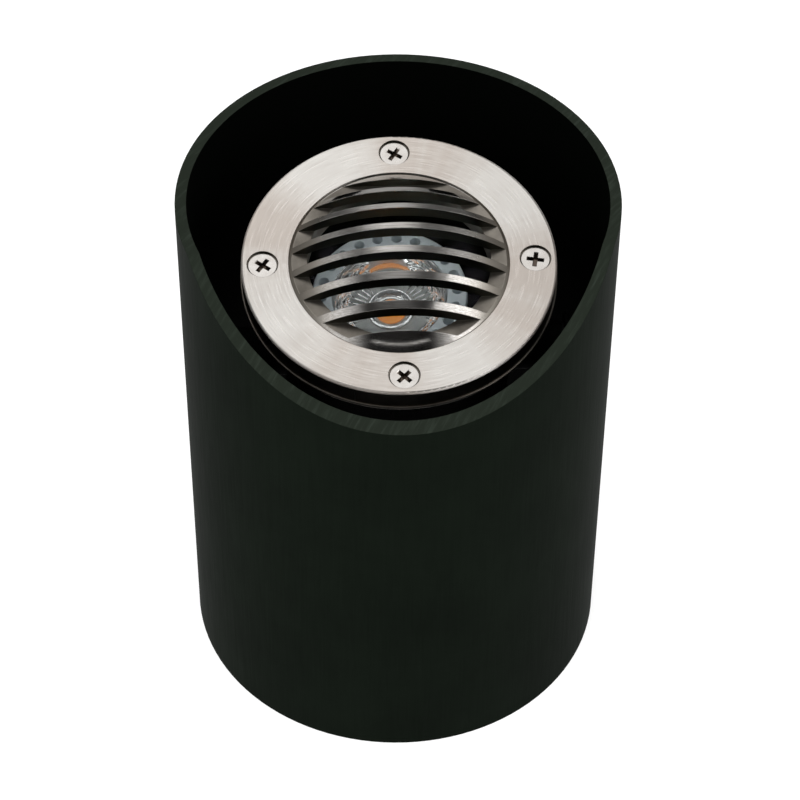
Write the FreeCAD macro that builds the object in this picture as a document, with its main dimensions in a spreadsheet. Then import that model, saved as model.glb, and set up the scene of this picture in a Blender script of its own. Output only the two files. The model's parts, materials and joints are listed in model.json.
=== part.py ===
import FreeCAD, Part
import math
import operator
import os
from types import SimpleNamespace

import Sketcher

# A well light: a lamp head that tilts on two side pivots inside a cut plastic pipe.
# Millimetres. The origin is the middle of the sleeve's bottom, +Z is up and the sloping
# cut of the sleeve faces -Y. Head pieces are drawn upright about the pivot axis (their
# own Z runs out through the face) and are then leaned to the rest tilt.

DIMENSIONS = [
    # the pipe that is set in the ground
    ("sleeve_od", 140.0, "outside diameter of the pipe"),
    ("sleeve_wall", 3.6, "pipe wall"),
    ("sleeve_height", 187.5, "height of the level back part"),
    ("bevel_drop", 34.5, "how much lower the front is cut"),
    ("bevel_start", 23.4, "where the slope begins, in front of the axis"),
    # how the head hangs
    ("rest_tilt", 11.0, "lean of the head towards the low side, degrees"),
    ("pivot_below_top", 66.7, "pivot axis below the top of the sleeve"),
    ("pivot_gap", 21.0, "between the screw bosses and the yoke ends"),
    ("seat_gap", 0.3, "between the strap and the pipe it is screwed to"),
    ("fit_gap", 0.1, "all round gap of pieces that are fixed to each other"),
    ("run_gap", 0.05, "all round gap of the running pivots"),
    # yoke strap
    ("yoke_width", 20.0, "width of the strap"),
    ("yoke_thickness", 2.5, "thickness of the strap"),
    ("yoke_bend", 3.0, "inside bend radius"),
    ("yoke_neck", 4.0, "straight strap below the pivot eye"),
    ("yoke_eye_flat", 2.0, "flat left on the rounded end"),
    ("yoke_screw_drop", 50.0, "wall screws below the pivot axis"),
    ("yoke_swing_gap", 5.0, "between the swinging gland and the bridge"),
    ("yoke_cable_d", 14.0, "cable hole in the bridge"),
    # metric five screws of the face and of the yoke
    ("bolt_d", 5.0, "thread diameter"),
    ("bolt_head_d", 9.0, "countersunk head"),
    ("bolt_land", 0.3, "straight edge of the head"),
    ("bolt_sink", 0.3, "wall screw head below the pipe surface"),
    ("bolt_tip", 1.5, "thread beyond the nut"),
    ("nut_flats", 8.0, "nut across flats"),
    ("nut_height", 4.0, "nut height"),
    ("recess_length", 5.6, "cross recess across its arms"),
    ("recess_foot", 2.4, "the same at the bottom of the recess"),
    ("recess_width", 1.4, "width of an arm"),
    ("recess_depth", 1.9, "depth of the recess"),
    # tilting pivots
    ("shoulder_d", 6.0, "running shoulder of the pivot screw"),
    ("pivot_head_d", 10.0, "head of the pivot screw"),
    ("pivot_head_height", 3.5, "height of that head"),
    ("pivot_head_clear", 4.5, "from the head to the pipe"),
    ("pivot_reach", 9.0, "thread in the housing boss"),
    ("pivot_key_flats", 4.0, "hexagon socket"),
    ("pivot_boss_d", 16.0, "boss on the housing"),
    ("washer_od", 14.0, "plastic washer"),
    ("washer_thickness", 1.0, "plastic washer"),
    ("spring_od", 11.0, "dished spring washer"),
    ("spring_height", 0.9, "free height of the spring washer"),
    ("spring_thickness", 0.5, "its sheet"),
    # face casting
    ("aperture_d", 70.0, "opening of the ring"),
    ("face_plate", 3.5, "thickness of the ring"),
    ("face_edge", 0.7, "rounded outer edge"),
    ("face_margin", 6.8, "from the screw centres to the outer edge"),
    ("skirt_thickness", 1.2, "skirt of the ring, down past the flange"),
    ("skirt_bead", 0.5, "rounded bead at the foot of the skirt"),
    ("rim_depth", 7.0, "inner rim below the front"),
    ("rim_land", 2.0, "inner rim outside the opening"),
    ("rim_shelf", 6.0, "inner rim inside the opening"),
    ("groove_depth", 0.8, "groove between ring and dome"),
    ("dome_inset", 0.6, "width of that groove at the front"),
    ("dome_rise", 13.3, "top of the dome above the ring"),
    ("slot_floor", 0.4, "slots stop this far above the ring"),
    ("slot_reach", 29.3, "outermost slots end this far from the middle"),
    ("blade_count", 6.0, "louvre blades left between the slots"),
    ("blade_pitch", 8.9, "from blade to blade"),
    ("blade_thickness", 2.35, "thickness of a blade"),
    ("blade_depth", 4.4, "depth of a blade at the top of the dome"),
    ("screw_count", 4.0, "face screws"),
    ("screw_wall", 2.4, "metal between mouth and screw"),
    ("screw_sink", 0.8, "head below the front of the ring"),
    ("screw_room", 0.5, "all round the sunk head"),
    ("screw_length", 15.0, "length of a face screw"),
    # seals and glass
    ("gasket_thickness", 1.5, "flat gasket under the ring"),
    ("gasket_inset", 0.8, "gasket edge inside the flange's edge"),
    ("lens_thickness", 4.0, "glass"),
    ("lens_lap", 2.0, "glass beyond the opening"),
    ("seal_lip", 1.0, "rubber above and below the glass"),
    ("seal_wall", 1.0, "rubber round the glass"),
    ("ledge_width", 3.0, "ledge under the glass"),
    # housing casting
    ("flange_thickness", 3.5, "flange"),
    ("flange_edge", 0.8, "rounded flange edges"),
    ("collar_wall", 3.9, "wall round the glass"),
    ("collar_depth", 5.0, "collar below the ledge"),
    ("body_wall", 3.5, "wall of the cup"),
    ("body_draft", 1.0, "how much the cup narrows to its floor"),
    ("body_step", 4.0, "sloping step under the collar"),
    ("floor_thickness", 5.0, "floor"),
    ("corner_round", 8.0, "rounded bottom corner"),
    ("screw_boss_d", 10.0, "bosses of the face screws"),
    ("screw_boss_depth", 13.0, "their depth below the flange top"),
    # lamp with a two-pin base
    ("lamp_gap", 7.5, "glass to lamp"),
    ("lamp_d", 50.0, "lamp front"),
    ("lamp_length", 46.0, "lamp without pins"),
    ("lamp_rim", 5.0, "straight rim"),
    ("sink_length", 32.0, "metal part of the lamp"),
    ("sink_tail_d", 30.0, "narrow end of the metal part"),
    ("sink_edge", 0.6, "rounded front edge"),
    ("vent_count", 22.0, "holes round the lamp front"),
    ("vent_d", 3.4, "hole diameter"),
    ("vent_depth", 12.0, "hole depth, it opens on the slope"),
    ("optic_d", 37.0, "clear lens"),
    ("optic_depth", 14.5, "height of the clear lens"),
    ("optic_flange", 1.5, "its flange"),
    ("optic_foot_d", 17.0, "its narrow end"),
    ("optic_sink", 0.6, "lens below the lamp rim"),
    ("optic_knee_d", 31.0, "lens at the knee of its curved side"),
    ("optic_knee_depth", 8.5, "knee below its front"),
    ("optic_curve", 14.0, "radius of the curved side"),
    ("optic_well", 2.6, "room over the phosphor"),
    ("led_d", 13.0, "phosphor disc"),
    ("led_thickness", 0.9, "phosphor disc"),
    ("board_thickness", 1.6, "circuit board"),
    ("base_neck_d", 24.0, "plastic base at its end"),
    ("base_shoulder", 6.0, "straight part of the base"),
    ("pin_d", 1.5, "contact pin"),
    ("pin_pitch", 5.33, "pin spacing"),
    ("pin_length", 7.0, "free length of a pin"),
    # lamp holder and wiring inside the cup
    ("socket_length", 25.0, "ceramic holder"),
    ("socket_width", 12.0, "ceramic holder"),
    ("socket_height", 13.0, "ceramic holder"),
    ("socket_edge", 1.5, "rounded upright edges"),
    ("socket_gap", 0.3, "low edge of the leaning lamp to the holder"),
    ("lamp_lean", 3.5, "how far the lamp leans in its holder, degrees"),
    ("pin_room", 0.55, "all round a pin in the holder"),
    ("socket_screw_reach", 8.6, "holder screws from the middle"),
    ("bracket_thickness", 1.2, "strap under the holder"),
    ("bracket_width", 13.0, "strap width"),
    ("bracket_half", 15.0, "middle to upright"),
    ("bracket_foot", 10.0, "foot length"),
    ("bracket_bend", 1.5, "outside bend radius"),
    ("wiring_space", 12.0, "room between strap and floor"),
    ("small_d", 3.0, "metric three thread"),
    ("small_head_d", 5.6, "pan head"),
    ("small_head_height", 2.0, "pan head"),
    ("small_reach", 3.0, "thread in the floor"),
    ("block_length", 22.0, "terminal block"),
    ("block_width", 11.0, "terminal block"),
    ("block_height", 11.0, "terminal block"),
    ("block_back", 19.0, "middle of the block behind the axis"),
    ("block_web", 3.0, "thin middle of the block that the screw holds"),
    ("block_web_length", 6.4, "length of that middle"),
    ("clamp_screw_d", 3.0, "wire clamp screw"),
    ("clamp_screw_length", 3.4, "wire clamp screw"),
    ("lead_d", 2.0, "insulated lead"),
    ("lead_pitch", 14.0, "lead spacing"),
    ("lead_height", 7.5, "lead above the floor"),
    ("lead_bend", 3.0, "bend radius of a lead"),
    ("lead_entry", 3.0, "lead inside the block and the holder"),
    # cable gland in the floor
    ("gland_d", 12.0, "gland thread"),
    ("gland_flats", 16.0, "hexagon of body and nut"),
    ("gland_hex", 5.0, "hexagon of the body"),
    ("gland_nut_length", 14.0, "clamping nut"),
    ("gland_nut_gap", 0.8, "between body and nut"),
    ("gland_nut_round", 3.0, "rounded nut end"),
    ("gland_lip", 2.0, "end wall of the nut"),
    ("gland_reach", 5.5, "thread inside the floor"),
    ("gland_washer", 1.2, "flat washer"),
    ("locknut_flats", 17.0, "inside nut"),
    ("locknut_height", 4.0, "inside nut"),
    ("cable_d", 6.5, "cable that the gland grips"),
    ("cable_room", 0.6, "all round the cable in the hard pieces"),
    ("bush_wall", 1.5, "rubber bush"),
    ("bush_length", 8.0, "rubber bush"),
]

# how far each face screw's cross recess is turned, degrees, going round from +X
RECESS_TURNS = [-10.0, 57.0, 54.0, 45.0]

WORKINGS = {"+": operator.add, "-": operator.sub, "*": operator.mul, "/": operator.truediv}


class Size:
    """A length tied to the sheet: its number now, and the formula that keeps it current."""

    def __init__(self, value, formula):
        self.value = float(value)
        self.formula = formula

    def __add__(self, other):
        return combine(self, "+", other)

    def __radd__(self, other):
        return combine(other, "+", self)

    def __sub__(self, other):
        return combine(self, "-", other)

    def __rsub__(self, other):
        return combine(other, "-", self)

    def __mul__(self, other):
        return combine(self, "*", other)

    def __rmul__(self, other):
        return combine(other, "*", self)

    def __truediv__(self, other):
        return combine(self, "/", other)

    def __neg__(self):
        return combine(0.0, "-", self)


def as_size(item):
    """A plain number as a Size; a Size as it is."""
    if isinstance(item, Size):
        return item
    return Size(item, "(%r)" % float(item))


def combine(left, sign, right):
    """Two lengths joined by a sign, as number and as formula."""
    first, second = as_size(left), as_size(right)
    value = WORKINGS[sign](first.value, second.value)
    return Size(value, "(%s %s %s)" % (first.formula, sign, second.formula))


def root(item):
    """Square root of a Size."""
    return Size(math.sqrt(item.value), "sqrt(%s)" % item.formula)


def sine(angle):
    """Sine of a Size that holds degrees."""
    return Size(math.sin(math.radians(angle.value)), "sin(%s * 1deg)" % angle.formula)


def cosine(angle):
    """Cosine of a Size that holds degrees."""
    return Size(math.cos(math.radians(angle.value)), "cos(%s * 1deg)" % angle.formula)


def start_sheet(document):
    """The sheet of driving dimensions, and the same values by name."""
    sheet = document.addObject("Spreadsheet::Sheet", "dims")
    for row, (name, value, meaning) in enumerate(DIMENSIONS, start=1):
        sheet.set("A%d" % row, name)
        sheet.set("B%d" % row, repr(value))
        sheet.set("C%d" % row, meaning)
        sheet.setAlias("B%d" % row, name)
    document.recompute()
    sizes = {name: Size(sheet.get(name), "dims." + name) for name, _, _ in DIMENSIONS}
    return SimpleNamespace(**sizes)


os.makedirs("parts", exist_ok=True)
doc = FreeCAD.newDocument("well_light")
d = start_sheet(doc)
finished = []


# building blocks


def point(across, up):
    """A point of a sketch."""
    return FreeCAD.Vector(as_size(across).value, as_size(up).value, 0.0)


def bind(piece, prop, amount):
    """Tie one property of a piece to the sheet."""
    piece.setExpression(prop, as_size(amount).formula)


def hold(sketch, kind, where, amount):
    """Add one dimension to a sketch and tie it to the sheet."""
    size = as_size(amount)
    number = sketch.addConstraint(Sketcher.Constraint(kind, *where, size.value))
    sketch.setExpression("Constraints[%d]" % number, size.formula)


def hold_point(sketch, geometry, end, across, up):
    """Dimension a point of a sketch from the origin."""
    hold(sketch, "DistanceX", (-1, 1, geometry, end), across)
    hold(sketch, "DistanceY", (-1, 1, geometry, end), up)


def new_body(name):
    """An empty body that may hold several solids."""
    body = doc.addObject("PartDesign::Body", name)
    body.AllowCompound = True
    return body


def origin_part(body, role):
    """One of the body's own planes or axes."""
    return [feature for feature in body.Origin.OriginFeatures if feature.Role == role][0]


def new_sketch(body, name, plane, shift=None):
    """An empty sketch on one of the body's own planes, moved along its normal by shift."""
    sketch = body.newObject("Sketcher::SketchObject", name)
    sketch.AttachmentSupport = [(origin_part(body, plane), "")]
    sketch.MapMode = "FlatFace"
    if shift is not None:
        bind(sketch, "AttachmentOffset.Base.z", shift)
    return sketch


def corner_round(before, corner, after, radius):
    """Start, end and middle of the arc that rounds a corner."""
    back = (before - corner).normalize()
    onward = (after - corner).normalize()
    half = back.getAngle(onward) / 2.0
    reach = radius / math.tan(half)
    middle = corner + (back + onward).normalize() * (radius / math.sin(half))
    return corner + back * reach, corner + onward * reach, middle


def outline(sketch, corners, closed=True):
    """Draw straight edges through the corners and round the corners that carry a radius.

    Each corner is (across, up) or (across, up, radius). Both distances are dimensioned from
    the origin, for a rounded corner at the point where its two edges would meet.
    """
    count = len(corners)
    spots = [point(corner[0], corner[1]) for corner in corners]
    arcs = {}
    for index, corner in enumerate(corners):
        if len(corner) == 3:
            before, after = spots[index - 1], spots[(index + 1) % count]
            arcs[index] = corner_round(before, spots[index], after, corner[2].value)
    edges = count if closed else count - 1
    for index in range(edges):
        start = arcs[index][1] if index in arcs else spots[index]
        following = (index + 1) % count
        end = arcs[following][0] if following in arcs else spots[following]
        sketch.addGeometry(Part.LineSegment(start, end), False)
    for index, corner in enumerate(corners):
        before, here = (index - 1) % edges, index % edges
        if index in arcs:
            round_off(sketch, before, here, arcs[index], spots[index], corner)
            continue
        if closed or 0 < index < count - 1:
            sketch.addConstraint(Sketcher.Constraint("Coincident", before, 2, here, 1))
        last = not closed and index == count - 1
        hold_point(sketch, edges - 1 if last else here, 2 if last else 1, corner[0], corner[1])


def round_off(sketch, before, here, arc, spot, corner):
    """Put the arc of a rounded corner between its two edges and dimension it."""
    start, end, middle = arc
    turn = (start - middle).cross(end - middle).z
    angles = [math.atan2(tip.y - middle.y, tip.x - middle.x) for tip in (start, end)]
    low, high = angles if turn > 0 else reversed(angles)
    if high < low:
        high += 2.0 * math.pi
    ring = Part.Circle(middle, FreeCAD.Vector(0, 0, 1), corner[2].value)
    number = sketch.addGeometry(Part.ArcOfCircle(ring, low, high), False)
    mark = sketch.addGeometry(Part.Point(spot), True)
    first, second = (1, 2) if turn > 0 else (2, 1)
    sketch.addConstraint(Sketcher.Constraint("Tangent", before, 2, number, first))
    sketch.addConstraint(Sketcher.Constraint("Tangent", number, second, here, 1))
    sketch.addConstraint(Sketcher.Constraint("PointOnObject", mark, 1, before))
    sketch.addConstraint(Sketcher.Constraint("PointOnObject", mark, 1, here))
    hold(sketch, "Radius", (number,), corner[2])
    hold_point(sketch, mark, 1, corner[0], corner[1])


def circle(sketch, across, up, radius):
    """A dimensioned circle."""
    shape = Part.Circle(point(across, up), FreeCAD.Vector(0, 0, 1), as_size(radius).value)
    number = sketch.addGeometry(shape, False)
    hold_point(sketch, number, 3, across, up)
    hold(sketch, "Radius", (number,), radius)


def turned(name, corners, axis="V_Axis", centre=None):
    """A turned piece. Corners are (radius, height), or (height, radius) for the X axis.

    With a centre, the piece is turned about an upright line that far from the Z axis and
    the corners' radii are counted from that line.
    """
    body = new_body(name)
    sketch = new_sketch(body, name + "_profile", "XZ_Plane")
    if centre is None:
        outline(sketch, corners)
    else:
        moved = [(centre + corner[0],) + tuple(corner[1:]) for corner in corners]
        outline(sketch, moved)
        line = sketch.addGeometry(Part.LineSegment(point(centre, -1), point(centre, 1)), True)
        hold_point(sketch, line, 1, centre, -1)
        hold_point(sketch, line, 2, centre, 1)
        axis = "Axis0"
    turn = body.newObject("PartDesign::Revolution", name + "_turn")
    turn.Profile = sketch
    turn.ReferenceAxis = (sketch, [axis])
    turn.Angle = 360.0
    doc.recompute()
    return body


def padded(name, plane, corners, length):
    """A flat outline pushed out evenly to both sides of its plane."""
    body = new_body(name)
    sketch = new_sketch(body, name + "_outline", plane)
    outline(sketch, corners)
    pad = body.newObject("PartDesign::Pad", name + "_pad")
    pad.Profile = sketch
    pad.SideType = "Symmetric"
    bind(pad, "Length", length)
    doc.recompute()
    return body


def ringed(body, feature, count):
    """Repeat a feature round the Z axis."""
    pattern = body.newObject("PartDesign::PolarPattern", feature.Name + "_ring")
    pattern.Originals = [feature]
    pattern.Axis = (origin_part(body, "Z_Axis"), [""])
    pattern.Angle = 360.0
    bind(pattern, "Occurrences", count)
    body.Tip = pattern
    doc.recompute()


def mirrored(body):
    """Repeat a body's last feature on the other side of the YZ plane."""
    feature = body.Tip
    twin = body.newObject("PartDesign::Mirrored", feature.Name + "_twin")
    twin.Originals = [feature]
    twin.MirrorPlane = (origin_part(body, "YZ_Plane"), [""])
    body.Tip = twin
    doc.recompute()
    return body


def bored(body, name, radius, reach, top, depth, count):
    """A ring of blind holes, bored down from the height of top."""
    sketch = new_sketch(body, name + "_circle", "XY_Plane", top)
    circle(sketch, reach, 0.0, radius)
    pocket = body.newObject("PartDesign::Pocket", name)
    pocket.Profile = sketch
    bind(pocket, "Length", depth)
    doc.recompute()
    ringed(body, pocket, count)


def rod(name, radius, low, high, across=0.0, along=0.0):
    """An upright cylinder between two heights."""
    piece = doc.addObject("Part::Cylinder", name)
    bind(piece, "Radius", radius)
    bind(piece, "Height", as_size(high) - low)
    for prop, amount in (("x", across), ("y", along), ("z", low)):
        bind(piece, "Placement.Base." + prop, amount)
    return piece


def crossbar(name, radius, left, right, height):
    """A cylinder along X."""
    piece = doc.addObject("Part::Cylinder", name)
    piece.Placement.Rotation = FreeCAD.Rotation(FreeCAD.Vector(0, 1, 0), 90)
    bind(piece, "Radius", radius)
    bind(piece, "Height", as_size(right) - left)
    bind(piece, "Placement.Base.x", left)
    bind(piece, "Placement.Base.z", height)
    return piece


def wire_hole(name, radius, front, back, across, height):
    """A cylinder along Y."""
    piece = doc.addObject("Part::Cylinder", name)
    piece.Placement.Rotation = FreeCAD.Rotation(FreeCAD.Vector(1, 0, 0), -90)
    bind(piece, "Radius", radius)
    bind(piece, "Height", as_size(back) - front)
    for prop, amount in (("x", across), ("y", front), ("z", height)):
        bind(piece, "Placement.Base." + prop, amount)
    return piece


def ball(name, radius, top):
    """A sphere on the Z axis that reaches up to the height of top."""
    piece = doc.addObject("Part::Sphere", name)
    bind(piece, "Radius", radius)
    bind(piece, "Placement.Base.z", top - radius)
    return piece


def block(name, length, width, low, high, across=0.0, along=0.0):
    """A box centred on (across, along) between two heights."""
    piece = doc.addObject("Part::Box", name)
    bind(piece, "Length", length)
    bind(piece, "Width", width)
    bind(piece, "Height", as_size(high) - low)
    bind(piece, "Placement.Base.x", across - as_size(length) / 2)
    bind(piece, "Placement.Base.y", along - as_size(width) / 2)
    bind(piece, "Placement.Base.z", low)
    return piece


def hexagon(name, flats, low, high):
    """An upright hexagonal bar between two heights."""
    piece = doc.addObject("Part::Prism", name)
    piece.Polygon = 6
    bind(piece, "Circumradius", flats / math.sqrt(3.0))
    bind(piece, "Height", as_size(high) - low)
    bind(piece, "Placement.Base.z", low)
    return piece


def merge(name, pieces):
    """Several pieces fused together."""
    piece = doc.addObject("Part::MultiFuse", name)
    piece.Shapes = pieces
    doc.recompute()
    return piece


def gather(name, pieces):
    """Several loose pieces as one group."""
    piece = doc.addObject("Part::Compound", name)
    piece.Links = pieces
    doc.recompute()
    return piece


def cut_away(name, base, tools):
    """A piece less its tools."""
    piece = doc.addObject("Part::Cut", name)
    piece.Base = base
    piece.Tool = tools[0] if len(tools) == 1 else merge(name + "_tools", tools)
    doc.recompute()
    return piece


def in_common(name, base, tool):
    """What two pieces have in common."""
    piece = doc.addObject("Part::Common", name)
    piece.Base = base
    piece.Tool = tool
    doc.recompute()
    return piece


def finish(piece, label, height, leaning=False):
    """Name a finished piece and set it in its place."""
    tilt = d.rest_tilt.value if leaning else 0.0
    turn = FreeCAD.Rotation(FreeCAD.Vector(1, 0, 0), tilt)
    piece.Placement = FreeCAD.Placement(FreeCAD.Vector(0, 0, height.value), turn)
    bind(piece, "Placement.Base.z", height)
    if leaning:
        bind(piece, "Placement.Rotation.Angle", d.rest_tilt)
    piece.Label = label
    finished.append(piece)


# sizes that follow from the driving ones

sleeve_r = d.sleeve_od / 2
bore_r = sleeve_r - d.sleeve_wall
pivot_height = d.sleeve_height - d.pivot_below_top
eye_r = d.yoke_width / 2
bolt_r = d.bolt_d / 2
bolt_head_r = d.bolt_head_d / 2
bolt_cone = bolt_head_r - bolt_r
small_r = d.small_d / 2

aperture_r = d.aperture_d / 2
light_r = aperture_r - d.rim_shelf
rim_r = aperture_r + d.rim_land
lens_r = aperture_r + d.lens_lap
seal_r = lens_r + d.fit_gap + d.seal_wall
mouth_r = seal_r + d.fit_gap
cavity_r = lens_r - d.ledge_width
body_r = cavity_r + d.body_wall
collar_r = mouth_r + d.collar_wall
screw_r = mouth_r + d.screw_wall + bolt_r
face_r = screw_r + d.face_margin
skirt_r = face_r - d.skirt_thickness
flange_r = skirt_r - d.seat_gap

# heights along the head's own axis, from the pivot
flange_depth = d.face_plate + d.gasket_thickness
face_front = flange_depth + d.screw_boss_depth + d.pivot_gap + eye_r
plate_back = face_front - d.face_plate
flange_top = plate_back - d.gasket_thickness
flange_back = flange_top - d.flange_thickness
boss_end = flange_top - d.screw_boss_depth
rim_back = face_front - d.rim_depth
lens_front = rim_back - d.seal_lip
lens_back = lens_front - d.lens_thickness
ledge = lens_back - d.seal_lip
collar_end = ledge - d.collar_depth
lamp_front = lens_back - d.lamp_gap
lamp_end = lamp_front - d.lamp_length
socket_top = lamp_end - d.socket_gap - d.base_neck_d / 2 * sine(d.lamp_lean)
socket_end = socket_top - d.socket_height
floor = socket_end - d.bracket_thickness - d.wiring_space
underside = floor - d.floor_thickness
washer_end = underside - d.gland_washer
gland_hex_end = washer_end - d.gland_hex
nut_start = gland_hex_end - d.gland_nut_gap
nut_end = nut_start - d.gland_nut_length
swing = root(nut_end * nut_end + d.gland_flats * d.gland_flats / 3)

# distances along the pivot axis, from the middle to one side
head_out = bore_r - d.pivot_head_clear
head_in = head_out - d.pivot_head_height
arm_out = head_in - d.spring_height
arm_in = arm_out - d.yoke_thickness
boss_face = arm_in - d.washer_thickness
strap_out = root(bore_r * bore_r - eye_r * eye_r) - d.seat_gap
strap_in = strap_out - d.yoke_thickness


def recess_arm(name, across, along, height, turn):
    """One arm of a cross recess, tapering downwards."""
    arm = doc.addObject("Part::Wedge", name)
    for prop, amount in (
        ("Xmin", -d.recess_length / 2), ("Xmax", d.recess_length / 2),
        ("Zmin", -d.recess_width / 2), ("Zmax", d.recess_width / 2),
        ("X2min", -d.recess_foot / 2), ("X2max", d.recess_foot / 2),
        ("Z2min", -d.recess_width / 2), ("Z2max", d.recess_width / 2),
        ("Ymin", 0.0), ("Ymax", d.recess_depth),
    ):
        bind(arm, prop, amount)
    down = FreeCAD.Rotation(FreeCAD.Vector(1, 0, 0), -90)
    arm.Placement.Rotation = FreeCAD.Rotation(FreeCAD.Vector(0, 0, 1), turn) * down
    for prop, amount in (("x", across), ("y", along), ("z", height)):
        bind(arm, "Placement.Base." + prop, amount)
    return arm


def make_sleeve():
    """Pipe with a level back, a sloping cut across its front and two countersunk wall holes."""
    tube = turned("sleeve_tube", [
        (bore_r, 0.0),
        (sleeve_r, 0.0),
        (sleeve_r, d.sleeve_height),
        (bore_r, d.sleeve_height),
    ])
    slope = d.bevel_drop / (sleeve_r - d.bevel_start)
    beyond = 5.0
    sketch = new_sketch(tube, "slope_outline", "YZ_Plane")
    outline(sketch, [
        (-d.bevel_start, d.sleeve_height),
        (-d.bevel_start, d.sleeve_height + beyond),
        (-sleeve_r - beyond, d.sleeve_height + beyond),
        (-sleeve_r - beyond, d.sleeve_height - d.bevel_drop - slope * beyond),
    ])
    pocket = tube.newObject("PartDesign::Pocket", "slope_cut")
    pocket.Profile = sketch
    pocket.SideType = "Symmetric"
    bind(pocket, "Length", d.sleeve_od + beyond)
    doc.recompute()
    top = sleeve_r - d.bolt_sink
    shank = bolt_r + d.fit_gap
    head = bolt_head_r + d.fit_gap
    hole = turned("wall_hole", [
        (bore_r - beyond, 0.0),
        (bore_r - beyond, shank),
        (top - d.bolt_land - bolt_cone, shank),
        (top - d.bolt_land, head),
        (sleeve_r + beyond, head),
        (sleeve_r + beyond, 0.0),
    ], axis="H_Axis")
    mirrored(hole)
    bind(hole, "Placement.Base.z", pivot_height - d.yoke_screw_drop)
    finish(cut_away("sleeve_part", tube, [hole]), "sleeve", as_size(0.0))


def make_yoke():
    """One bent strap: pivot eyes, a joggle out to the pipe wall, and a bridge below."""
    bend = d.yoke_bend
    outer_bend = d.yoke_bend + d.yoke_thickness
    joggle = -eye_r - d.yoke_neck
    wall = joggle - (strap_out - arm_out)
    mitre = d.yoke_thickness * (math.tan(math.radians(22.5)) / 2)
    bridge_top = -swing - d.yoke_swing_gap
    bridge = bridge_top - d.yoke_thickness
    strap = padded("yoke_strap", "XZ_Plane", [
        (0.0, bridge),
        (strap_out, bridge, outer_bend),
        (strap_out, wall + mitre, outer_bend),
        (arm_out, joggle + mitre, bend),
        (arm_out, eye_r),
        (arm_in, eye_r),
        (arm_in, joggle - mitre, outer_bend),
        (strap_in, wall - mitre, bend),
        (strap_in, bridge_top, bend),
        (0.0, bridge_top),
    ], d.yoke_width)
    mirrored(strap)
    ends = []
    square = strap.Tip
    for index, edge in enumerate(square.Shape.Edges, start=1):
        level = [abs(vertex.Z - eye_r.value) < 1e-4 for vertex in edge.Vertexes]
        sideways = abs(edge.tangentAt(edge.FirstParameter).x) > 0.99
        if all(level) and sideways:
            ends.append("Edge%d" % index)
    eye = strap.newObject("PartDesign::Fillet", "yoke_eye")
    eye.Base = (square, ends)
    bind(eye, "Radius", eye_r - d.yoke_eye_flat / 2)
    strap.Tip = eye
    doc.recompute()
    tools = [
        crossbar("eye_bore", d.shoulder_d / 2 + d.run_gap, -bore_r, bore_r, 0.0),
        crossbar("wall_bore", bolt_r + d.fit_gap, -bore_r, bore_r, -d.yoke_screw_drop),
        rod("cable_bore", d.yoke_cable_d / 2, bridge - 1, bridge_top + 1),
    ]
    finish(cut_away("yoke_part", strap, tools), "yoke", pivot_height)


def make_yoke_screws():
    """Countersunk screws through the pipe wall, and the nuts behind the strap."""
    top = sleeve_r - d.bolt_sink
    tip = strap_in - d.nut_height - d.bolt_tip
    screw = turned("wall_screw", [
        (tip, 0.0),
        (tip, bolt_r),
        (top - d.bolt_land - bolt_cone, bolt_r),
        (top - d.bolt_land, bolt_head_r),
        (top, bolt_head_r),
        (top, 0.0),
    ], axis="H_Axis")
    mirrored(screw)
    arms = []
    sideways = FreeCAD.Rotation(FreeCAD.Vector(0, 1, 0), 90)
    for side, sign in (("right", 1.0), ("left", -1.0)):
        for turn in (45.0, 135.0):
            arm = recess_arm("wall_recess_%s_%d" % (side, turn), sign * top, 0.0, 0.0, turn)
            out = sideways if sign > 0 else sideways.inverted()
            arm.Placement.Rotation = out * arm.Placement.Rotation
            arms.append(arm)
    height = pivot_height - d.yoke_screw_drop
    finish(cut_away("yoke_screws_part", screw, arms), "yoke_screws", height)
    nuts = []
    for side, low in (("right", strap_in - d.nut_height), ("left", -strap_in)):
        nut = hexagon("nut_" + side, d.nut_flats, 0.0, d.nut_height)
        nut.Placement.Rotation = sideways
        bind(nut, "Placement.Base.x", low)
        nuts.append(nut)
    bore = crossbar("nut_bore", bolt_r + d.fit_gap, -bore_r, bore_r, 0.0)
    finish(cut_away("yoke_nuts_part", gather("nut_pair", nuts), [bore]), "yoke_nuts", height)


def make_pivots():
    """Shoulder screws in the housing bosses, plastic washers and dished spring washers."""
    shoulder = d.shoulder_d / 2
    head = d.pivot_head_d / 2
    screw = turned("pivot_screw", [
        (boss_face - d.pivot_reach, 0.0),
        (boss_face - d.pivot_reach, bolt_r),
        (boss_face, bolt_r),
        (boss_face, shoulder),
        (head_in, shoulder),
        (head_in, head),
        (head_out, head, d.pivot_head_height / 4),
        (head_out, 0.0),
    ], axis="H_Axis")
    mirrored(screw)
    keys = []
    deep = d.pivot_head_height / 2
    for side, start in (("right", head_out - deep), ("left", -head_out)):
        key = hexagon("pivot_key_" + side, d.pivot_key_flats, 0.0, deep)
        key.Placement.Rotation = FreeCAD.Rotation(FreeCAD.Vector(0, 1, 0), 90)
        bind(key, "Placement.Base.x", start)
        keys.append(key)
    finish(cut_away("pivot_screws_part", screw, keys), "pivot_screws", pivot_height, True)
    ring = turned("washer_ring", [
        (boss_face, shoulder + d.fit_gap),
        (arm_in, shoulder + d.fit_gap),
        (arm_in, d.washer_od / 2),
        (boss_face, d.washer_od / 2),
    ], axis="H_Axis")
    finish(mirrored(ring), "pivot_washers", pivot_height, True)
    inside = shoulder + d.fit_gap
    dish = turned("spring_dish", [
        (head_in - d.spring_thickness, inside),
        (head_in, inside),
        (arm_out + d.spring_thickness, d.spring_od / 2),
        (arm_out, d.spring_od / 2),
    ], axis="H_Axis")
    finish(mirrored(dish), "pivot_springs", pivot_height, True)


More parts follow.
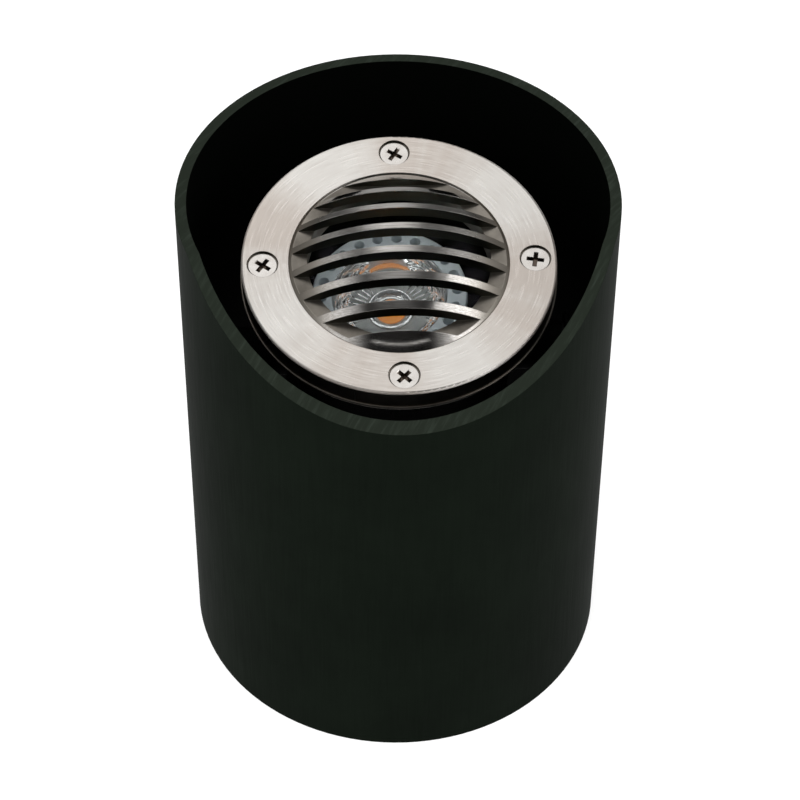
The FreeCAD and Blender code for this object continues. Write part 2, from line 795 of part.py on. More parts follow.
def make_face():
    """Ring, skirt and louvre in one casting: a hollow dome, slotted down to a shelf inside the ring."""
    groove = face_front - d.groove_depth
    bead_r = face_r + d.skirt_bead
    bead_top = flange_back + d.skirt_bead * 2
    bead_round = d.skirt_bead * 0.8
    ring = turned("face_ring", [
        (light_r, rim_back),
        (rim_r, rim_back),
        (rim_r, plate_back),
        (skirt_r, plate_back),
        (skirt_r, flange_back),
        (bead_r, flange_back, bead_round),
        (bead_r, bead_top, bead_round),
        (face_r, bead_top),
        (face_r, face_front, d.face_edge),
        (aperture_r, face_front),
        (aperture_r, groove),
        (light_r, groove),
    ])
    over = 1.0
    head_top = face_front - d.screw_sink - d.bolt_land
    gap = d.fit_gap * 2
    sketch = new_sketch(ring, "face_hole_profile", "XZ_Plane")
    outline(sketch, [
        (screw_r, plate_back - over),
        (screw_r + bolt_r + gap, plate_back - over),
        (screw_r + bolt_r + gap, head_top - bolt_cone),
        (screw_r + bolt_head_r + gap, head_top),
        (screw_r + bolt_head_r + d.screw_room, head_top),
        (screw_r + bolt_head_r + d.screw_room, face_front + over),
        (screw_r, face_front + over),
    ])
    line = sketch.addGeometry(Part.LineSegment(point(screw_r, 0), point(screw_r, 1)), True)
    hold_point(sketch, line, 1, screw_r, 0.0)
    hold_point(sketch, line, 2, screw_r, 1.0)
    sink = ring.newObject("PartDesign::Groove", "face_hole")
    sink.Profile = sketch
    sink.ReferenceAxis = (sketch, ["Axis0"])
    sink.Angle = 360.0
    doc.recompute()
    ringed(ring, sink, d.screw_count)

    # the dome springs just inside the opening, and its hollow narrows to the light opening
    crown = face_front + d.dome_rise
    shelf = face_front + d.slot_floor
    spring_r = aperture_r - d.dome_inset
    dome_r = (spring_r * spring_r + d.dome_rise * d.dome_rise) / (d.dome_rise * 2)
    vault = d.dome_rise - d.blade_depth - d.slot_floor
    hollow_r = (light_r * light_r + vault * vault) / (vault * 2)
    dome = ball("dome_outside", dome_r, crown)
    base = rod("dome_base", aperture_r, groove, crown + over)
    hollow = in_common("dome_hollow", ball("dome_inside", hollow_r, crown - d.blade_depth),
                       rod("dome_vault", light_r, shelf, crown))
    tools = [hollow, rod("dome_throat", light_r, groove - over, shelf)]
    slots = int(round(d.blade_count.value)) + 1
    last = slots - 1
    wide = d.blade_pitch - d.blade_thickness
    last_start = d.blade_pitch * (last / 2.0) - wide / 2
    last_wide = d.slot_reach - last_start
    for number in range(slots):
        along = d.blade_pitch * (number - last / 2.0)
        width = wide
        if number in (0, last):
            along = (last_start + last_wide / 2) * (1.0 if number else -1.0)
            width = last_wide
        tools.append(block("slot_%d" % (number + 1), d.aperture_d, width, shelf, crown + over, 0.0, along))
    louvre = cut_away("louvre", in_common("dome_solid", dome, base), tools)
    finish(merge("face_part", [ring, louvre]), "face_grille", pivot_height, True)


def make_face_screws():
    """Countersunk cross-recess screws, each recess turned as it was left."""
    top = face_front - d.screw_sink
    blanks = turned("face_screw", [
        (0.0, top - d.screw_length),
        (bolt_r, top - d.screw_length),
        (bolt_r, top - d.bolt_land - bolt_cone),
        (bolt_head_r, top - d.bolt_land),
        (bolt_head_r, top),
        (0.0, top),
    ], centre=screw_r)
    ringed(blanks, blanks.Tip, d.screw_count)
    arms = []
    count = int(round(d.screw_count.value))
    for number in range(count):
        angle = 2.0 * math.pi * number / count
        across, along = screw_r * math.cos(angle), screw_r * math.sin(angle)
        for quarter in (0.0, 90.0):
            turn = RECESS_TURNS[number % len(RECESS_TURNS)] + quarter
            name = "face_recess_%d_%d" % (number + 1, quarter)
            arms.append(recess_arm(name, across, along, top, turn))
    finish(cut_away("face_screws_part", blanks, arms), "face_screws", pivot_height, True)


def make_seals_and_glass():
    """Flat gasket under the ring, the glass, and the channel rubber round the glass."""
    gasket = turned("gasket_ring", [
        (mouth_r, flange_top),
        (flange_r - d.gasket_inset, flange_top),
        (flange_r - d.gasket_inset, plate_back),
        (mouth_r, plate_back),
    ])
    bored(gasket, "gasket_hole", bolt_r + d.seat_gap, screw_r, plate_back, d.gasket_thickness,
          d.screw_count)
    finish(gasket, "face_gasket", pivot_height, True)
    glass = turned("glass_disc", [
        (0.0, lens_back),
        (lens_r, lens_back, d.seal_lip / 2),
        (lens_r, lens_front, d.seal_lip / 2),
        (0.0, lens_front),
    ])
    finish(glass, "lens", pivot_height, True)
    rubber = turned("channel_rubber", [
        (cavity_r, rim_back),
        (seal_r, rim_back),
        (seal_r, ledge),
        (cavity_r, ledge),
        (cavity_r, lens_back),
        (lens_r + d.fit_gap, lens_back),
        (lens_r + d.fit_gap, lens_front),
        (cavity_r, lens_front),
    ])
    finish(rubber, "lens_seal", pivot_height, True)


def make_housing():
    """Cast cup: flange, collar with screw bosses, drafted body, side bosses and drilled floor."""
    step = d.body_step
    inner_floor_r = cavity_r - d.body_draft
    hole_r = d.gland_d / 2 + d.fit_gap
    shell = turned("housing_shell", [
        (mouth_r, ledge),
        (mouth_r, flange_top),
        (flange_r, flange_top, d.flange_edge),
        (flange_r, flange_back, d.flange_edge),
        (collar_r, flange_back, d.flange_edge),
        (collar_r, collar_end, d.flange_edge),
        (body_r, collar_end - step, d.flange_edge),
        (body_r - d.body_draft, underside, d.corner_round),
        (hole_r, underside),
        (hole_r, floor),
        (inner_floor_r, floor, d.corner_round / 2),
        (cavity_r, ledge),
    ])
    blanks = [shell]
    tools = [rod("mouth_bore", mouth_r, ledge, flange_top + 1)]
    count = int(round(d.screw_count.value))
    for number in range(count):
        angle = 2.0 * math.pi * number / count
        across, along = screw_r * math.cos(angle), screw_r * math.sin(angle)
        spot = str(number + 1)
        blanks.append(rod("screw_boss_" + spot, d.screw_boss_d / 2, boss_end, flange_back, across, along))
        deep = face_front - d.screw_sink - d.screw_length - 1
        tools.append(rod("tapped_" + spot, bolt_r + d.fit_gap, deep, flange_top + 1, across, along))
    embed = cavity_r + d.body_wall / 4
    for side, left, right in (("right", embed, boss_face), ("left", -boss_face, -embed)):
        blanks.append(crossbar("pivot_boss_" + side, d.pivot_boss_d / 2, left, right, 0.0))
    deep = boss_face - d.pivot_reach - 1
    for side, left, right in (("right", deep, boss_face + 1), ("left", -boss_face - 1, -deep)):
        tools.append(crossbar("pivot_tapped_" + side, bolt_r + d.fit_gap, left, right, 0.0))
    foot = d.bracket_half + d.bracket_foot / 2
    for spot, across, along in (("right", foot, 0.0), ("left", -foot, 0.0), ("back", 0.0, d.block_back)):
        name = "floor_tapped_" + spot
        low = floor - d.small_reach - d.fit_gap * 2
        tools.append(rod(name, small_r + d.fit_gap, low, floor + 1, across, along))
    casting = merge("housing_blank", blanks)
    finish(cut_away("housing_part", casting, tools), "housing", pivot_height, True)


def seat_lamp(piece, label):
    """Lean a piece of the lamp about its holder, to the left, and finish it."""
    leftward = FreeCAD.Rotation(FreeCAD.Vector(0, -1, 0), d.lamp_lean.value)
    piece.Placement = FreeCAD.Placement(FreeCAD.Vector(0, 0, 0), leftward)
    bind(piece, "Placement.Rotation.Angle", d.lamp_lean)
    bind(piece, "Placement.Base.x", socket_top * sine(d.lamp_lean))
    bind(piece, "Placement.Base.z", socket_top - socket_top * cosine(d.lamp_lean))
    finish(gather(label + "_part", [piece]), label, pivot_height, True)


def make_lamp():
    """Lamp: vented metal cup, clear optic, phosphor disc on its board, plastic base, pins."""
    rim = d.lamp_d / 2
    tail = d.sink_tail_d / 2
    optic_r = d.optic_d / 2
    seat_r = optic_r + d.fit_gap
    optic_front = lamp_front - d.optic_sink
    optic_back = optic_front - d.optic_depth
    board_top = optic_back
    board_back = board_top - d.board_thickness
    sink_end = lamp_front - d.sink_length
    cup = turned("sink_cup", [
        (0.0, board_back),
        (seat_r, board_back),
        (seat_r, lamp_front, d.sink_edge / 2),
        (rim, lamp_front, d.sink_edge),
        (rim, lamp_front - d.lamp_rim, d.lamp_rim * 2),
        (tail, sink_end),
        (0.0, sink_end),
    ])
    bored(cup, "vent", d.vent_d / 2, (rim + seat_r) / 2, lamp_front, d.vent_depth, d.vent_count)
    seat_lamp(cup, "lamp_heat_sink")

    foot = d.optic_foot_d / 2
    well = d.led_d / 2 + d.optic_well / 4
    clear = turned("optic_solid", [
        (0.0, optic_front),
        (optic_r, optic_front),
        (optic_r, optic_front - d.optic_flange),
        (d.optic_knee_d / 2, optic_front - d.optic_knee_depth, d.optic_curve),
        (foot, optic_back),
        (well, optic_back),
        (well, optic_back + d.optic_well, d.optic_well / 2),
        (0.0, optic_back + d.optic_well),
    ])
    seat_lamp(clear, "lamp_optic")
    phosphor = turned("led_disc", [
        (0.0, board_top),
        (d.led_d / 2, board_top),
        (d.led_d / 2, board_top + d.led_thickness, d.led_thickness / 3),
        (0.0, board_top + d.led_thickness),
    ])
    seat_lamp(phosphor, "lamp_led")
    board = turned("board_disc", [
        (0.0, board_back),
        (optic_r, board_back),
        (optic_r, board_top),
        (0.0, board_top),
    ])
    seat_lamp(board, "lamp_board")
    plug = turned("base_plug", [
        (0.0, lamp_end),
        (d.base_neck_d / 2, lamp_end, d.sink_edge),
        (tail - d.sink_edge, sink_end - d.base_shoulder, d.base_shoulder / 2),
        (tail - d.sink_edge, sink_end),
        (0.0, sink_end),
    ])
    seat_lamp(plug, "lamp_base")
    pins = []
    for side, sign in (("right", 0.5), ("left", -0.5)):
        pins.append(rod("pin_" + side, d.pin_d / 2, lamp_end - d.pin_length, lamp_end, d.pin_pitch * sign))
    seat_lamp(gather("pin_pair", pins), "lamp_pins")


def make_socket():
    """Ceramic holder with pin holes, its screws, and the bent strap that carries it."""
    half, wide = d.socket_length / 2, d.socket_width / 2
    body = new_body("socket_body")
    sketch = new_sketch(body, "socket_outline", "XY_Plane", socket_end)
    outline(sketch, [
        (-half, -wide, d.socket_edge),
        (half, -wide, d.socket_edge),
        (half, wide, d.socket_edge),
        (-half, wide, d.socket_edge),
    ])
    pad = body.newObject("PartDesign::Pad", "socket_pad")
    pad.Profile = sketch
    bind(pad, "Length", d.socket_height)
    doc.recompute()
    tools = []
    plate = socket_end - d.bracket_thickness
    head_seat = socket_end + d.socket_height / 2
    screws = []
    plate_tools = []
    foot = d.bracket_half + d.bracket_foot / 2
    for side, sign in (("right", 1.0), ("left", -1.0)):
        pin_at, screw_at = d.pin_pitch * (sign / 2), d.socket_screw_reach * sign
        lead_at = d.lead_pitch * (sign / 2)
        tools.append(rod("pin_hole_" + side, d.pin_d / 2 + d.pin_room, lamp_end - d.pin_length - 1,
                         socket_top + 1, pin_at))
        tools.append(rod("screw_well_" + side, d.small_head_d / 2 + d.seat_gap, head_seat,
                         socket_top + 1, screw_at))
        tools.append(rod("screw_way_" + side, small_r + d.seat_gap, socket_end - 1, head_seat + 1, screw_at))
        lead_hole = d.lead_d / 2 + d.seat_gap
        tools.append(rod("lead_hole_" + side, lead_hole, socket_end - 1,
                         socket_end + d.lead_entry + d.seat_gap, lead_at, -wide / 2))
        plate_tools.append(rod("lead_way_" + side, lead_hole, plate - 1, socket_end + 1, lead_at, -wide / 2))
        plate_tools.append(rod("plate_tapped_" + side, small_r + d.fit_gap, plate - 1,
                               socket_end + 1, screw_at))
        plate_tools.append(rod("foot_way_" + side, small_r + d.seat_gap, floor - 1,
                               floor + d.bracket_thickness + 1, foot * sign))
        screws.append(pan_screw("socket_screw_" + side, screw_at, 0.0, head_seat, head_seat - plate + 1))
    finish(cut_away("socket_part", body, tools), "lamp_socket", pivot_height, True)
    finish(gather("socket_screws_part", screws), "socket_screws", pivot_height, True)

    thick, upright = d.bracket_thickness, d.bracket_half
    end = upright + d.bracket_foot
    strap = padded("bracket_strap", "XZ_Plane", [
        (-end, floor),
        (-upright + thick, floor),
        (-upright + thick, plate),
        (upright - thick, plate),
        (upright - thick, floor),
        (end, floor),
        (end, floor + thick),
        (upright, floor + thick),
        (upright, socket_end, d.bracket_bend),
        (-upright, socket_end, d.bracket_bend),
        (-upright, floor + thick),
        (-end, floor + thick),
    ], d.bracket_width)
    finish(cut_away("bracket_part", strap, plate_tools), "socket_bracket", pivot_height, True)


def pan_screw(name, across, along, seat, length):
    """A small screw whose pan head rests on the height of seat."""
    head, top = d.small_head_d / 2, seat + d.small_head_height
    screw = turned(name, [
        (0.0, seat - length),
        (small_r, seat - length),
        (small_r, seat),
        (head, seat),
        (head, top, d.small_head_height / 2),
        (0.0, top),
    ])
    bind(screw, "Placement.Base.x", across)
    bind(screw, "Placement.Base.y", along)
    return screw


def make_wiring():
    """Terminal block with clamp screws, the leads to the lamp holder, and the floor screws."""
    front = d.block_back - d.block_width / 2
    back = d.block_back + d.block_width / 2
    top = floor + d.block_height
    blank = block("block_blank", d.block_length, d.block_width, floor, top, 0.0, d.block_back)
    web = floor + d.block_web
    slot = block("block_slot", d.block_web_length, d.block_width + 2, web, top + 1, 0.0, d.block_back)
    way = rod("block_way", small_r + d.seat_gap, floor - 1, web + 1, 0.0, d.block_back)
    tools = [slot, way]
    clamps = []
    level = floor + d.lead_height
    for side, sign in (("right", 0.5), ("left", -0.5)):
        across = d.lead_pitch * sign
        tools.append(wire_hole("wire_way_" + side, d.lead_d / 2 + d.seat_gap, front - 1, back + 1,
                               across, level))
        well = d.clamp_screw_d / 2
        tools.append(rod("clamp_well_" + side, well + d.fit_gap, level, top + 1, across, d.block_back))
        clamps.append(rod("clamp_" + side, well, top - d.clamp_screw_length, top, across, d.block_back))
    finish(cut_away("block_part", blank, tools), "terminal_block", pivot_height, True)
    finish(gather("clamps_part", clamps), "terminal_screws", pivot_height, True)

    body = new_body("lead_pair")
    across, along = d.lead_pitch / 2, -d.socket_width / 4
    start = socket_end + d.lead_entry
    path = new_sketch(body, "lead_path", "YZ_Plane", across)
    outline(path, [
        (along, start),
        (along, level, d.lead_bend),
        (front + d.lead_entry, level),
    ], closed=False)
    section = new_sketch(body, "lead_section", "XY_Plane", start)
    circle(section, across, along, d.lead_d / 2)
    doc.recompute()
    sweep = body.newObject("PartDesign::AdditivePipe", "lead_sweep")
    sweep.Profile = section
    sweep.Spine = (path, [])
    doc.recompute()
    finish(mirrored(body), "lead_wires", pivot_height, True)

    foot = d.bracket_half + d.bracket_foot / 2
    low = floor - d.small_reach
    seat = floor + d.bracket_thickness
    screws = [
        pan_screw("floor_screw_right", foot, 0.0, seat, seat - low),
        pan_screw("floor_screw_left", -foot, 0.0, seat, seat - low),
        pan_screw("floor_screw_back", 0.0, d.block_back, web, web - low),
    ]
    finish(gather("floor_screws_part", screws), "floor_screws", pivot_height, True)


def make_gland():
    """Cable gland: threaded body, locknut, flat washer, rubber bush and rounded clamping nut."""
    thread = d.gland_d / 2
    corner = d.gland_flats / math.sqrt(3.0)
    way = d.cable_d / 2 + d.cable_room
    bush_r = d.cable_d / 2 + d.bush_wall
    bush_end = nut_end + d.gland_lip
    bush_start = bush_end + d.bush_length
    tube = turned("gland_tube", [
        (way, floor + d.gland_reach),
        (thread, floor + d.gland_reach),
        (thread, bush_end + d.gland_nut_gap),
        (bush_r + d.fit_gap, bush_end + d.gland_nut_gap),
        (bush_r + d.fit_gap, bush_start),
        (way, bush_start),
    ])
    bar = hexagon("gland_bar", d.gland_flats, gland_hex_end, washer_end)
    inside = rod("gland_bar_bore", bush_r, gland_hex_end - 1, washer_end + 1)
    collar = cut_away("gland_collar", bar, [inside])
    finish(merge("gland_part", [tube, collar]), "gland_body", pivot_height, True)
    ring = turned("gland_ring", [
        (thread + d.fit_gap, washer_end),
        (d.gland_flats / 2, washer_end),
        (d.gland_flats / 2, underside),
        (thread + d.fit_gap, underside),
    ])
    finish(ring, "gland_washer", pivot_height, True)
    lock = hexagon("lock_bar", d.locknut_flats, floor, floor + d.locknut_height)
    lock_bore = rod("lock_bore", thread + d.fit_gap, floor - 1, floor + d.locknut_height + 1)
    finish(cut_away("lock_part", lock, [lock_bore]), "gland_locknut", pivot_height, True)
    bush = turned("bush_ring", [
        (d.cable_d / 2, bush_end),
        (bush_r, bush_end),
        (bush_r, bush_start - d.fit_gap),
        (d.cable_d / 2, bush_start - d.fit_gap),
    ])
    finish(bush, "gland_seal", pivot_height, True)
    cap = turned("nut_form", [
        (way, nut_end),
        (corner, nut_end, d.gland_nut_round),
        (corner, nut_start),
        (thread + d.fit_gap, nut_start),
        (thread + d.fit_gap, bush_end),
        (way, bush_end),
    ])
    flats = hexagon("nut_flats_bar", d.gland_flats, nut_end, nut_start)
    finish(in_common("nut_part", cap, flats), "gland_nut", pivot_height, True)


make_sleeve()
make_yoke()
make_yoke_screws()
make_pivots()
make_face()
make_face_screws()
make_seals_and_glass()
make_housing()
make_lamp()
make_socket()
make_wiring()
make_gland()
doc.recompute()

# nothing is written unless every object is sound
for item in doc.Objects:
    if "Invalid" in item.State or "Error" in item.State:
        raise RuntimeError("%s did not build: %s" % (item.Label, item.State))
for piece in finished:
    if piece.Shape.isNull() or not piece.Shape.isValid() or not piece.Shape.Solids:
        raise RuntimeError("%s has no sound shape" % piece.Label)
for piece in finished:
    piece.Shape.exportStep("parts/%s.step" % piece.Label)
    print("%-16s %2d solids %10.1f mm3" % (piece.Label, len(piece.Shape.Solids), piece.Shape.Volume))
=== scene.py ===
"""Looks of the well light: finishes for its solids, a finer lamp lens, and the photograph's view."""

import json
import logging
import math
from dataclasses import dataclass
from enum import Enum
from typing import Any

import bpy
import numpy as np
from mathutils import Matrix, Vector


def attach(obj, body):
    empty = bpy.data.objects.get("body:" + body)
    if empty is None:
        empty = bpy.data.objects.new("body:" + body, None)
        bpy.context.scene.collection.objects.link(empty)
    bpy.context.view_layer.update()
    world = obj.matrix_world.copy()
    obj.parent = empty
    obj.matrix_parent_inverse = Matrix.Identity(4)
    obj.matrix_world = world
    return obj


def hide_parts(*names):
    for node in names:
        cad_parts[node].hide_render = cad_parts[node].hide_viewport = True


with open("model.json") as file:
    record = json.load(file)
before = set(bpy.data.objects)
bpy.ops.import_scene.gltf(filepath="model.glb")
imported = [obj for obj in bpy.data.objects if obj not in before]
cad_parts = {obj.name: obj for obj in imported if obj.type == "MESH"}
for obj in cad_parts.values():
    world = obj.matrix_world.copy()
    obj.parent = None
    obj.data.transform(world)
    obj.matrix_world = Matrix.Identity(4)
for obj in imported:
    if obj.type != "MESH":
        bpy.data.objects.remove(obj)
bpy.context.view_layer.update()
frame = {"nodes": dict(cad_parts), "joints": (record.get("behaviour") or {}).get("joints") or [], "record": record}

MM = 0.001
LOG = logging.getLogger("well_light")

# The noise under every finish: layers that get finer, and the strength of each beside the one before.
NOISE_LAYERS = 5.0
NOISE_FALL = 0.62
# Spans of that noise that are stretched over a finish's colours, its fine tones and its roughness.
PATCH_SPAN = (0.32, 0.68)
MARK_SPAN = (0.2, 0.8)
ROUGH_SPAN = (0.3, 0.7)
# How far the fine marks shift a colour, as a share of the way between its two ends.
MARK_SHIFT = 0.35
EDGE_SAMPLES = 4
# How a Mix node mixes colours.
COLOURS: dict[str, Any] = {"output": 2, "data_type": "RGBA"}

Tree = bpy.types.NodeTree
Socket = bpy.types.NodeSocket


class Body(Enum):
    """The two bodies of the light, which the tilt joint links."""

    SLEEVE = "sleeve"
    HEAD = "head"


class Lay(Enum):
    """Which way the fine marks of a surface run, as a stretch along X, Y and Z."""

    EVEN = (1.0, 1.0, 1.0)
    DOWN_THE_PIPE = (1.0, 1.0, 0.03)


def linear(code: str) -> tuple[float, float, float, float]:
    """Turn an sRGB hex colour into linear light, by the curve of the sRGB standard.

    Args:
        code: six hex digits after a hash.

    Returns:
        Red, green, blue and an alpha of one.
    """
    parts = np.array([int(code[start:start + 2], 16) / 255.0 for start in (1, 3, 5)])
    light = np.where(parts <= 0.04045, parts / 12.92, ((parts + 0.055) / 1.055) ** 2.4)
    return (float(light[0]), float(light[1]), float(light[2]), 1.0)


def add_node(tree: Tree, kind: str, inputs: dict[Any, Any] | None = None, output: int | str = 0,
             **settings: Any) -> Socket:
    """Add one shader node with its settings, fill or link its inputs, and hand back one output.

    Args:
        tree: the node tree it goes in.
        kind: Blender's name for the node, without the leading words that all share.
        inputs: socket name or number to a value, or to the socket it is linked from.
        output: which of its outputs to hand back.
        **settings: properties of the node itself.

    Returns:
        The output socket, or the node's first input where it has no output.
    """
    node = tree.nodes.new("ShaderNode" + kind)
    for name, value in settings.items():
        setattr(node, name, value)
    for key, value in (inputs or {}).items():
        if isinstance(value, Socket):
            tree.links.new(value, node.inputs[key])
        else:
            node.inputs[key].default_value = value
    return node.outputs[output] if len(node.outputs) else node.inputs[0]


def node_points(name: str) -> np.ndarray:
    """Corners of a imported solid.

    Args:
        name: the solid's node.

    Returns:
        An array of points, in metres.
    """
    mesh = frame["nodes"][name].data
    flat = np.empty(len(mesh.vertices) * 3)
    mesh.vertices.foreach_get("co", flat)
    return flat.reshape(-1, 3)


@dataclass(frozen=True)
class Axes:
    """A frame of its own for a piece that leans: an origin and three directions."""

    origin: np.ndarray
    across: np.ndarray
    along: np.ndarray
    out: np.ndarray

    @classmethod
    def of_head(cls) -> "Axes":
        """The head's frame: on the pivot line, with its axis against the cable entry's.

        Returns:
            The frame.
        """
        entry = next(mount for mount in frame["record"]["mounts"] if mount["name"] == "cable_entry")
        out = -np.array(entry["axis"])
        across = np.array((1.0, 0.0, 0.0))
        return cls(np.array(frame["joints"][0]["pos_m"]), across, np.cross(out, across), out)

    @classmethod
    def of_lamp(cls) -> "Axes":
        """The lamp's frame: its round board is thinnest along the axis, which goes through its middle.

        Returns:
            The frame.
        """
        points = node_points("lamp_board")
        _, _, rows = np.linalg.svd(points - points.mean(axis=0), full_matrices=False)
        out = rows[2] * np.sign(rows[2][2])
        across = np.cross((0.0, 1.0, 0.0), out)
        across /= np.linalg.norm(across)
        return cls((points.min(axis=0) + points.max(axis=0)) / 2.0, across, np.cross(out, across), out)

    @property
    def lean(self) -> float:
        """How far the frame leans about X."""
        return math.atan2(-self.out[1], self.out[2])

    def inside(self, points: np.ndarray) -> tuple[np.ndarray, np.ndarray]:
        """Radius from the axis and height along it.

        Args:
            points: an array of points, in metres.

        Returns:
            The radii and the heights.
        """
        local = points - self.origin
        return np.hypot(local @ self.across, local @ self.along), local @ self.out

    def outside(self, local: np.ndarray) -> np.ndarray:
        """Points of this frame, in the part's own frame."""
        return self.origin + local @ np.stack([self.across, self.along, self.out])


HEAD = Axes.of_head()


@dataclass(frozen=True)
class Skin:
    """What a finish works out over a surface.

    Attributes:
        colour: its colour.
        height: height of the fine marks.
        roughness: its roughness.
        way: direction in which it smears what it mirrors, where it does so.
    """

    colour: Socket
    height: Socket
    roughness: Socket
    way: Socket | None = None


@dataclass(frozen=True)
class Finish:
    """A surface: what it is made of, how it was made, and what that gives the eye.

    Attributes:
        name: the material's common name and process.
        colour: its sRGB colour.
        shade: the sRGB colour it drifts towards in patches.
        roughness: mean roughness.
        spread: how far the roughness drifts either way.
        metallic: one for bare metal.
        ior: index of refraction; a metal keeps the default.
        specular: specular level of the surface, half for a clean dielectric.
        patch_mm: size of the colour patches.
        grain_mm: spacing of the fine marks.
        depth_mm: depth of the fine marks.
        lay: which way the marks run.
        edge_mm: how far sharp edges are rounded.
        clear: one where light passes through the body.
        glow: how strongly the surface shines by itself.
        smear: how far the surface smears what it mirrors.
        glare: sRGB tint of what clear stuff mirrors; dark where it is coated against glare.
    """

    name: str
    colour: str
    shade: str
    roughness: float
    spread: float = 0.05
    metallic: float = 0.0
    ior: float = 1.5
    specular: float = 0.5
    patch_mm: float = 12.0
    grain_mm: float = 0.6
    depth_mm: float = 0.01
    lay: Lay = Lay.EVEN
    edge_mm: float = 0.2
    clear: float = 0.0
    glow: float = 0.0
    smear: float = 0.0
    glare: str = "#ffffff"

    def build(self) -> bpy.types.Material:
        """Make the material, once.

        Returns:
            A node material named for the finish.
        """
        if self.name in bpy.data.materials:
            return bpy.data.materials[self.name]
        material = bpy.data.materials.new(self.name)
        material.use_nodes = True
        tree = material.node_tree
        tree.nodes.clear()
        skin = self.skin(tree, add_node(tree, "TexCoord", output="Object"))
        edge = add_node(tree, "Bevel", {"Radius": self.edge_mm * MM}, samples=EDGE_SAMPLES)
        bump = add_node(tree, "Bump", {
            "Strength": 1.0,
            "Distance": self.depth_mm * MM,
            "Height": skin.height,
            "Normal": edge,
        })
        way = {"Tangent": skin.way} if skin.way else {}
        shader = add_node(tree, "BsdfPrincipled", {
            "Base Color": skin.colour,
            "Roughness": skin.roughness,
            "Metallic": self.metallic,
            "IOR": self.ior,
            "Specular IOR Level": self.specular,
            "Specular Tint": linear(self.glare),
            "Transmission Weight": self.clear,
            "Emission Color": linear(self.colour),
            "Emission Strength": self.glow,
            "Anisotropic": self.smear,
            "Normal": bump,
            **way,
        })
        add_node(tree, "OutputMaterial", {"Surface": shader})
        return material

    def skin(self, tree: Tree, place: Socket) -> Skin:
        """Patches of colour, and fine marks that follow the lay.

        Args:
            tree: the material's nodes.
            place: object coordinates.

        Returns:
            The colour, height and roughness.
        """
        patches = self.noise(tree, place, (1.0 / (self.patch_mm * MM),) * 3)
        pitch = 1.0 / (self.grain_mm * MM)
        marks = self.noise(tree, place, tuple(pitch * stretch for stretch in self.lay.value))
        colour = self.between(tree, patches, marks, self.colour, self.shade)
        return Skin(colour, marks, self.drift(tree, marks, self.roughness, self.spread))

    def noise(self, tree: Tree, place: Socket, scale: tuple[float, ...]) -> Socket:
        """Fractal noise with a number of cells per unit of its own along X, Y and Z."""
        return add_node(tree, "TexNoise", {
            "Vector": add_node(tree, "Mapping", {"Vector": place, "Scale": scale}),
            "Scale": 1.0,
            "Detail": NOISE_LAYERS,
            "Roughness": NOISE_FALL,
        })

    def between(self, tree: Tree, patches: Socket, marks: Socket, first: str, second: str) -> Socket:
        """A colour that drifts from one to the other in patches and, less, along the marks.

        Args:
            tree: the material's nodes.
            patches: the coarse noise.
            marks: the fine noise.
            first: sRGB colour at one end.
            second: sRGB colour at the other.

        Returns:
            The colour.
        """
        tone = add_node(tree, "MapRange", {
            "Value": patches,
            "From Min": PATCH_SPAN[0],
            "From Max": PATCH_SPAN[1],
        })
        fine = add_node(tree, "MapRange", {
            "Value": marks,
            "From Min": MARK_SPAN[0],
            "From Max": MARK_SPAN[1],
            "To Min": -MARK_SHIFT,
            "To Max": MARK_SHIFT,
        })
        both = add_node(tree, "Math", {0: tone, 1: fine}, operation="ADD", use_clamp=True)
        return add_node(tree, "Mix", {0: both, 6: linear(first), 7: linear(second)}, **COLOURS)

    def drift(self, tree: Tree, marks: Socket, middle: float, spread: float) -> Socket:
        """Carry noise into a range about a middle value, as wide either way as the spread."""
        return add_node(tree, "MapRange", {
            "Value": marks,
            "From Min": ROUGH_SPAN[0],
            "From Max": ROUGH_SPAN[1],
            "To Min": middle - spread,
            "To Max": middle + spread,
        })


